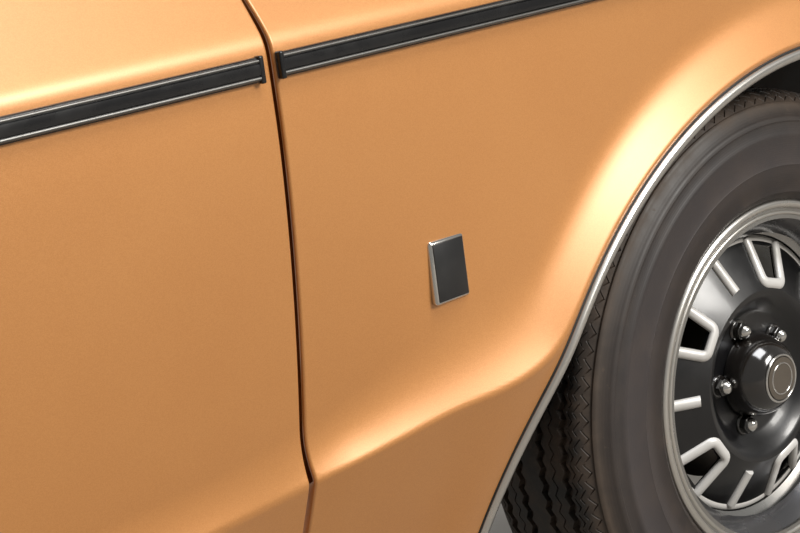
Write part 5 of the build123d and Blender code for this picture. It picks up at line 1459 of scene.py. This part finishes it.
@dataclass
class SideTrim:
    """Side mouldings, the plaque and the rolled trim of the arch.

    The sections are in millimetres: for the moulding inboard of the side and above its middle, for the trim
    of the arch outside the painted edge and inboard of it.
    """

    line: BodyLine = field(default_factory=BodyLine)
    height: float = 468 * MM
    door_span: Point = (-1067 * MM, -16.5 * MM)
    wing_span: Point = (6.5 * MM, 1330 * MM)
    cap_place: float = -4.2 * MM
    cap_size: Triple = (4.8 * MM, 7.2 * MM, 22.2 * MM)
    plaque_place: Point = (165 * MM, 258 * MM)
    plaque_size: Point = (42 * MM, 58 * MM)
    plaque_border: float = 6 * MM
    arch_counts: tuple[int, int] = (150, 140)
    strip_section: Outline = (
        (1, -10), (-3.5, -10), (-4.8, -9.6), (-5.4, -8.8), (-5.8, -4.8), (-7, -3.8), (-7.6, 0), (-7, 4.4),
        (-5.8, 5.4), (-5.2, 8.8), (-4.6, 9.6), (-3.5, 10), (1, 10),
    )
    strip_lines: Outline = ((-6.7, 1.7), (7.1, 1.4))
    rolled_section: Outline = (
        (-1.6, 1.0), (-1.7, -0.9), (-2.4, -2.6), (-3.8, -3.9), (-6.0, -4.5), (-8.4, -4.2), (-10.6, -3.1),
        (-12.3, -1.3), (-13.2, 0.8), (-13.6, 3.6), (-13.7, 13.0), (-12.7, 13.0), (-12.6, 4.0), (-10.6, 0.4),
        (-6.0, -1.2),
    )
    # Section of the dark bead that paints the shadow between the painted edge and the trim.
    shadow_bead_section: Outline = ((0.7, 0.6), (0.6, -0.4), (-0.2, -1.0), (-1.2, -1.0), (-2.0, -0.4), (-2.1, 0.6))

    def strip_path(self, start: float, end: float) -> list[Point]:
        """Places along the car, each with the taper's shift across the car."""
        if end < self.line.taper_start:
            return [(start, 0.0), (end, 0.0)]
        places = [start, *np.linspace(self.line.taper_start, end, 14)]
        return [(float(x), float(self.line.taper(np.array(x)))) for x in places]

    def strip(self, label: str, span: Point, body: Body, cap_x: float) -> None:
        """Build one length of moulding: black carrier, two bright lines and an end cap.

        Args:
            label: Start of the pieces' names.
            span: Where it starts and ends along the car.
            body: The body that it moves with.
            cap_x: Place of the cap along the car.
        """
        side, path = self.line.side, self.strip_path(*span)
        insert = Bench.drawn(f"{label}_strip_insert", metres(self.strip_section, side, self.height), path)
        placed(Bench.smooth(insert, 40), INSERT, body, [f"{label}_moulding_insert"])
        lines = []
        for middle, reach in self.strip_lines:
            bead = [(-5.8 + 0.9 * y, middle + z) for y, z in arc((0.0, 0.0), reach, 90, 270, 8)]
            bead += [(-4, middle - reach), (-4, middle + reach)]
            lines.append(Bench.drawn(f"{label}_line", metres(bead, side, self.height), path))
        bright = Bench.smooth(Bench.joined(f"{label}_strip_bright", lines), 40)
        placed(bright, STRIP_LINE, body, [f"{label}_moulding"])
        at = (cap_x, side + self.cap_place, self.height)
        cap = Bench.block(f"{label}_strip_cap", at, self.cap_size, 1.4 * MM, 3)
        placed(cap, INSERT, body)

    def plaque(self) -> None:
        """Build the plain plaque on the wing."""
        (x, z), (width, height), border = self.plaque_place, self.plaque_size, self.plaque_border
        face = float(self.line.surface(np.array(x), np.array(z), False))
        plate = Bench.block("plaque_border", (x, face + 1 * MM, z), (width, 9 * MM, height), 3.5 * MM, 4)
        placed(plate, BRIGHT, Body.SHELL, ["wing_plaque"])
        inside = (width - border, 2 * MM, height - border)
        middle = Bench.block("plaque_field", (x, face - 3.3 * MM, z), inside, 0.6 * MM, 2)
        placed(middle, SATIN_BLACK, Body.SHELL)

    def swept(self, label: str, section: Outline) -> bpy.types.Object:
        """Carry a section along the painted edge of the arch.

        Args:
            label: Name of the new object.
            section: Corners as millimetres outside the edge and millimetres inboard of it.

        Returns:
            The closed piece.
        """
        out, depth = np.array([*section, section[0]]).T * MM
        rows = []
        for turn, radius, middle in self.line.arch_rows(0.0, *self.arch_counts):
            along, up = math.cos(turn), math.sin(turn)
            x, z = self.line.arch_x + radius * along, middle + radius * up
            rows.append(np.stack([x + out * along, self.line.edge_place(x, z) + depth, z + out * up], axis=-1))
        return Bench.smooth(Bench.weld(Bench.grid(label, np.array(rows)), 0.01 * MM, capped=True), 50)

    def arch(self) -> None:
        """Build the rolled bright trim along the edge of the arch, and a dark bead under its outer edge that paints
        the shadow in the gap between paint and trim.
        """
        # The dark bead paints the shadow that falls in the gap between the paint and the trim.
        trim, bead = self.swept("arch_edge_trim", self.rolled_section), self.swept("arch_edge_painted_shadow", self.shadow_bead_section)
        placed(trim, SATIN_BRIGHT, Body.SHELL, ["arch_trim"])
        placed(bead, PAINTED_SHADOW_BEAD, Body.SHELL)

    def build(self) -> None:
        """Build all trim of the body side."""
        self.strip("door", self.door_span, Body.DOOR, self.door_span[1] + 1 * MM)
        self.strip("wing", self.wing_span, Body.SHELL, self.wing_span[0] - 1 * MM)
        self.plaque()
        self.arch()


def merged_copy(node: str, name: str) -> tuple[bpy.types.Object, str]:
    """Copy a CAD node with its doubles merged and its flat faces made whole.

    Args:
        node: Name of the CAD node.
        name: Name of the copy.

    Returns:
        The copy and the name of the node's material slot.
    """
    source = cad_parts[node]
    piece = source.copy()
    piece.data = source.data.copy()
    bpy.context.collection.objects.link(piece)
    piece.name = piece.data.name = name
    with Bench.editing(piece):
        bpy.ops.mesh.remove_doubles(threshold=0.02 * MM)
        bpy.ops.mesh.dissolve_limited(angle_limit=math.radians(0.5))
    return piece, SLOTS[node]


@dataclass
class Rounded:
    """Pressed, cast and moulded pieces whose edges are rounded on copies of their solids."""

    line: BodyLine = field(default_factory=BodyLine)
    segments: int = 2
    angle: float = 32.0
    skin_reach: float = -330 * MM
    clearance: float = 2.5 * MM
    skin_gap: float = 1.5 * MM
    pieces: tuple[tuple[str, Body, Finish, float], ...] = (
        ("front_rail", Body.SHELL, UNDERBODY, 3.0 * MM),
        ("hinge_pillar", Body.SHELL, INNER_PAINT, 2.0 * MM),
        ("strut_tower", Body.SHELL, UNDERBODY, 2.0 * MM),
        ("strut_top_mount", Body.SHELL, MOUNT_RUBBER, 1.2 * MM),
        ("arm_bracket", Body.SHELL, UNDERBODY, 1.5 * MM),
        ("lower_arm", Body.SHELL, SATIN_BLACK, 2.5 * MM),
        ("hinge_body_lower", Body.SHELL, INNER_PAINT, 1.0 * MM),
        ("hinge_body_upper", Body.SHELL, INNER_PAINT, 1.0 * MM),
        ("knuckle", Body.UPRIGHT, IRON, 2.5 * MM),
        ("strut_tube", Body.UPRIGHT, SATIN_BLACK, 0.8 * MM),
        ("brake_caliper", Body.UPRIGHT, IRON, 2.5 * MM),
        ("hub", Body.WHEEL, IRON, 1.0 * MM),
        ("brake_disc", Body.WHEEL, IRON, 0.8 * MM),
        ("door_frame", Body.DOOR, PAINT, 2.0 * MM),
        ("door_card", Body.DOOR, CARD, 1.2 * MM),
        ("door_armrest", Body.DOOR, VINYL, 6.0 * MM),
        ("window_winder", Body.DOOR, BRIGHT, 1.2 * MM),
        ("door_release", Body.DOOR, BRIGHT, 1.0 * MM),
        ("door_handle", Body.DOOR, BRIGHT, 1.6 * MM),
        ("hinge_door_lower", Body.DOOR, INNER_PAINT, 1.0 * MM),
        ("hinge_door_upper", Body.DOOR, INNER_PAINT, 1.0 * MM),
    )

    def round(self, node: str, body: Body, finish: Finish, width: float) -> None:
        """Round the edges of one piece.

        Args:
            node: Name of its CAD node.
            body: The body that it moves with.
            finish: Its finish.
            width: Width of the rounding.
        """
        piece, slot = merged_copy(node, f"{node}_rounded")
        limit = {"limit_method": "ANGLE", "angle_limit": math.radians(self.angle)}
        Bench.apply(piece, "BEVEL", width=width, segments=self.segments, **limit)
        placed(Bench.smooth(piece, 38), finish, body, [node])

    def door_pressing(self) -> None:
        """Stand the rim of the door's inner panel clear of the outer sheet."""
        piece, slot = merged_copy("door_inner_panel", "door_inner_pressing")
        for vertex in piece.data.vertices:
            if vertex.co.y < self.skin_reach:
                vertex.co.y += self.clearance
        placed(Bench.smooth(piece, 30), INNER_PAINT, Body.DOOR, ["door_inner_panel"])

    def stay(self) -> None:
        """Trim the wing's stay to the inner face of the sheet it is welded to."""
        piece, slot = merged_copy("wing_stay", "wing_stay_trimmed")
        for vertex in piece.data.vertices:
            skin = float(self.line.surface(np.array(vertex.co.x), np.array(vertex.co.z), False))
            vertex.co.y = max(vertex.co.y, skin + self.skin_gap)
        placed(Bench.smooth(piece, 30), UNDERBODY, Body.SHELL, ["wing_stay"])

    def build(self) -> None:
        """Round every piece."""
        for node, body, finish, width in self.pieces:
            self.round(node, body, finish, width)
        self.door_pressing()
        self.stay()


@dataclass
class RoadSpring:
    """Wound spring round the strut."""

    foot: Vector = field(default_factory=lambda: Vector((0.668, -0.165, 0.0)))
    top: Vector = field(default_factory=lambda: Vector((0.660, -0.118, 0.500)))
    radius: float = 58 * MM
    wire: float = 5.9 * MM
    low: float = 340 * MM
    high: float = 472 * MM
    turns: int = 4
    steps: int = 44

    def build(self) -> None:
        """Wind a round wire up the strut and close its ends."""
        Bench.clear()
        start = (self.radius, 0, self.low)
        bpy.ops.mesh.primitive_circle_add(
            vertices=18, radius=self.wire, location=start, rotation=(math.pi / 2, 0, 0)
        )
        pitch = (self.high - self.low) / self.turns
        winding = {"angle": 2 * math.pi, "iterations": self.turns, "screw_offset": pitch}
        steps = {"steps": self.steps, "render_steps": self.steps, "use_smooth_shade": True}
        piece = Bench.apply(Bench.named("road_spring"), "SCREW", **winding, **steps)
        Bench.weld(piece, Bench.FINE, capped=True)
        lean = (self.top - self.foot).to_track_quat("Z", "X").to_matrix()
        east = lean.inverted() @ Vector((1, 0, 0))
        turn = Matrix.Rotation(math.atan2(east.y, east.x), 3, "Z")
        piece.matrix_world = Matrix.Translation(self.foot) @ (lean @ turn).to_4x4()
        bpy.ops.object.transform_apply(location=True, rotation=True, scale=True)
        placed(Bench.smooth(piece, 50), SATIN_BLACK, Body.UPRIGHT, ["coil_spring"])


@dataclass
class Shown:
    """CAD nodes that keep their own shape and only need a finish."""

    finishes: tuple[tuple[Finish, tuple[str, ...]], ...] = (
        (INNER_PAINT, ("bulkhead_panel",)),
        (UNDERBODY, ("inner_wing",)),
        (STEEL, ("hinge_pin_lower", "hinge_pin_upper", "ball_stud", "strut_rod", "dust_shield")),
        (GLASS, ("door_glass",)),
        (BRIGHT, ("sill_strip",)),
    )

    def build(self) -> None:
        """Put each finish on its nodes."""
        for finish, nodes in self.finishes:
            for node in nodes:
                dress(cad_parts[node], finish)
                log.info("finished %s", node)


@dataclass(frozen=True)
class Lamp:
    """Area lamp that faces the middle of the set."""

    name: str
    way: Triple
    power: float
    size: Point
    color: Color

    def hang(self, middle: Vector, reach: float) -> None:
        """Hang the lamp.

        Args:
            middle: Middle of the set.
            reach: Distance from the middle, for a way of length one.
        """
        data = bpy.data.lights.new(self.name, "AREA")
        data.shape = "RECTANGLE"
        data.size, data.size_y = self.size
        data.energy = self.power
        data.color = self.color
        lamp = bpy.data.objects.new(self.name, data)
        bpy.context.collection.objects.link(lamp)
        lamp.location = middle + reach * Vector(self.way)
        lamp.rotation_euler = (middle - lamp.location).to_track_quat("-Z", "Y").to_euler()


@dataclass
class Studio:
    """Floor, lamps, world and camera."""

    floor_z: float = -317 * MM
    floor_colors: tuple[Color, Color] = ((0.285, 0.265, 0.235), (0.305, 0.285, 0.255))
    fade: Point = (2.4, 6.5)
    ambient: float = 0.08
    backdrop: float = 0.34
    haze: Color = (1.0, 0.97, 0.92)
    middle: Triple = (0.2, -0.4, 0.2)
    reach: float = 7.0
    lamps: tuple[Lamp, ...] = (
        Lamp("key", (0.32, -0.82, 0.475), 440, (2.4, 2.0), (1.0, 0.97, 0.92)),
        Lamp("sky", (0.10, -0.42, 0.90), 400, (3.6, 3.0), (0.98, 0.98, 1.0)),
        Lamp("fill", (-0.05, 0.81, 0.58), 260, (3.6, 3.0), (0.97, 0.98, 1.0)),
    )
    lens: float = 85.5
    sensor: float = 36.0
    eye: Triple = (-0.9278, -1.6027, 0.648)
    right: Triple = (0.7267, -0.6747, -0.1297)
    up: Triple = (0.2505, 0.0844, 0.9644)
    ahead: Triple = (0.6397, 0.7333, -0.2302)

    def floor(self) -> None:
        """Lay a plain pale floor that fades into the backdrop far from the object."""
        bpy.ops.mesh.primitive_plane_add(size=60, location=(0, 0, self.floor_z))
        floor = bpy.context.object
        floor.name = "floor"
        tree = Tree.of_material("studio_floor")
        away = tree.node("ShaderNodeVectorMath", {"operation": "LENGTH"}, {0: tree.place()}, "Value")
        near, far = self.fade
        fade = {"Value": away, "From Min": near, "From Max": far, "To Min": 1.0, "To Max": 0.0}
        tree.set(
            Base_Color=tree.mix(tree.noise(3.0), *self.floor_colors),
            Roughness=0.8,
            Alpha=tree.node("ShaderNodeMapRange", {"interpolation_type": "SMOOTHSTEP"}, fade),
        )
        floor.data.materials.append(tree.owner)

    def world(self) -> None:
        """Set a pale backdrop that lights the object only dimly."""
        tree = Tree(bpy.data.worlds.new("studio"), "ShaderNodeBackground", "ShaderNodeOutputWorld")
        seen = tree.node("ShaderNodeLightPath", out="Is Camera Ray")
        for name in ("Is Glossy Ray", "Is Transmission Ray"):
            seen = seen.apply("MAXIMUM", tree.node("ShaderNodeLightPath", out=name))
        levels = {"Value": seen, "To Min": self.ambient, "To Max": self.backdrop}
        tree.set(Color=self.haze, Strength=tree.node("ShaderNodeMapRange", {}, levels))
        bpy.context.scene.world = tree.owner

    def camera(self) -> None:
        """Stand the camera where the photograph was taken."""
        camera = bpy.data.objects.new("camera", bpy.data.cameras.new("camera"))
        camera.data.lens = self.lens
        camera.data.sensor_width = self.sensor
        camera.data.clip_start = 0.02
        right, up, ahead = Vector(self.right), Vector(self.up), Vector(self.ahead)
        camera.matrix_world = Matrix.Translation(self.eye) @ Matrix((right, up, -ahead)).transposed().to_4x4()
        bpy.context.collection.objects.link(camera)
        bpy.context.scene.camera = camera
        bpy.context.scene.view_settings.view_transform = "Standard"

    def build(self) -> None:
        """Set up the studio."""
        self.floor()
        self.world()
        for lamp in self.lamps:
            lamp.hang(Vector(self.middle), self.reach)
        self.camera()


def main() -> None:
    """Build every sub-assembly in order."""
    logging.basicConfig(level=logging.INFO)
    Shown().build()
    BodySheet().build()
    RoadWheel().build()
    SideTrim().build()
    Rounded().build()
    RoadSpring().build()
    Studio().build()


if __name__ == "__main__":
    main()
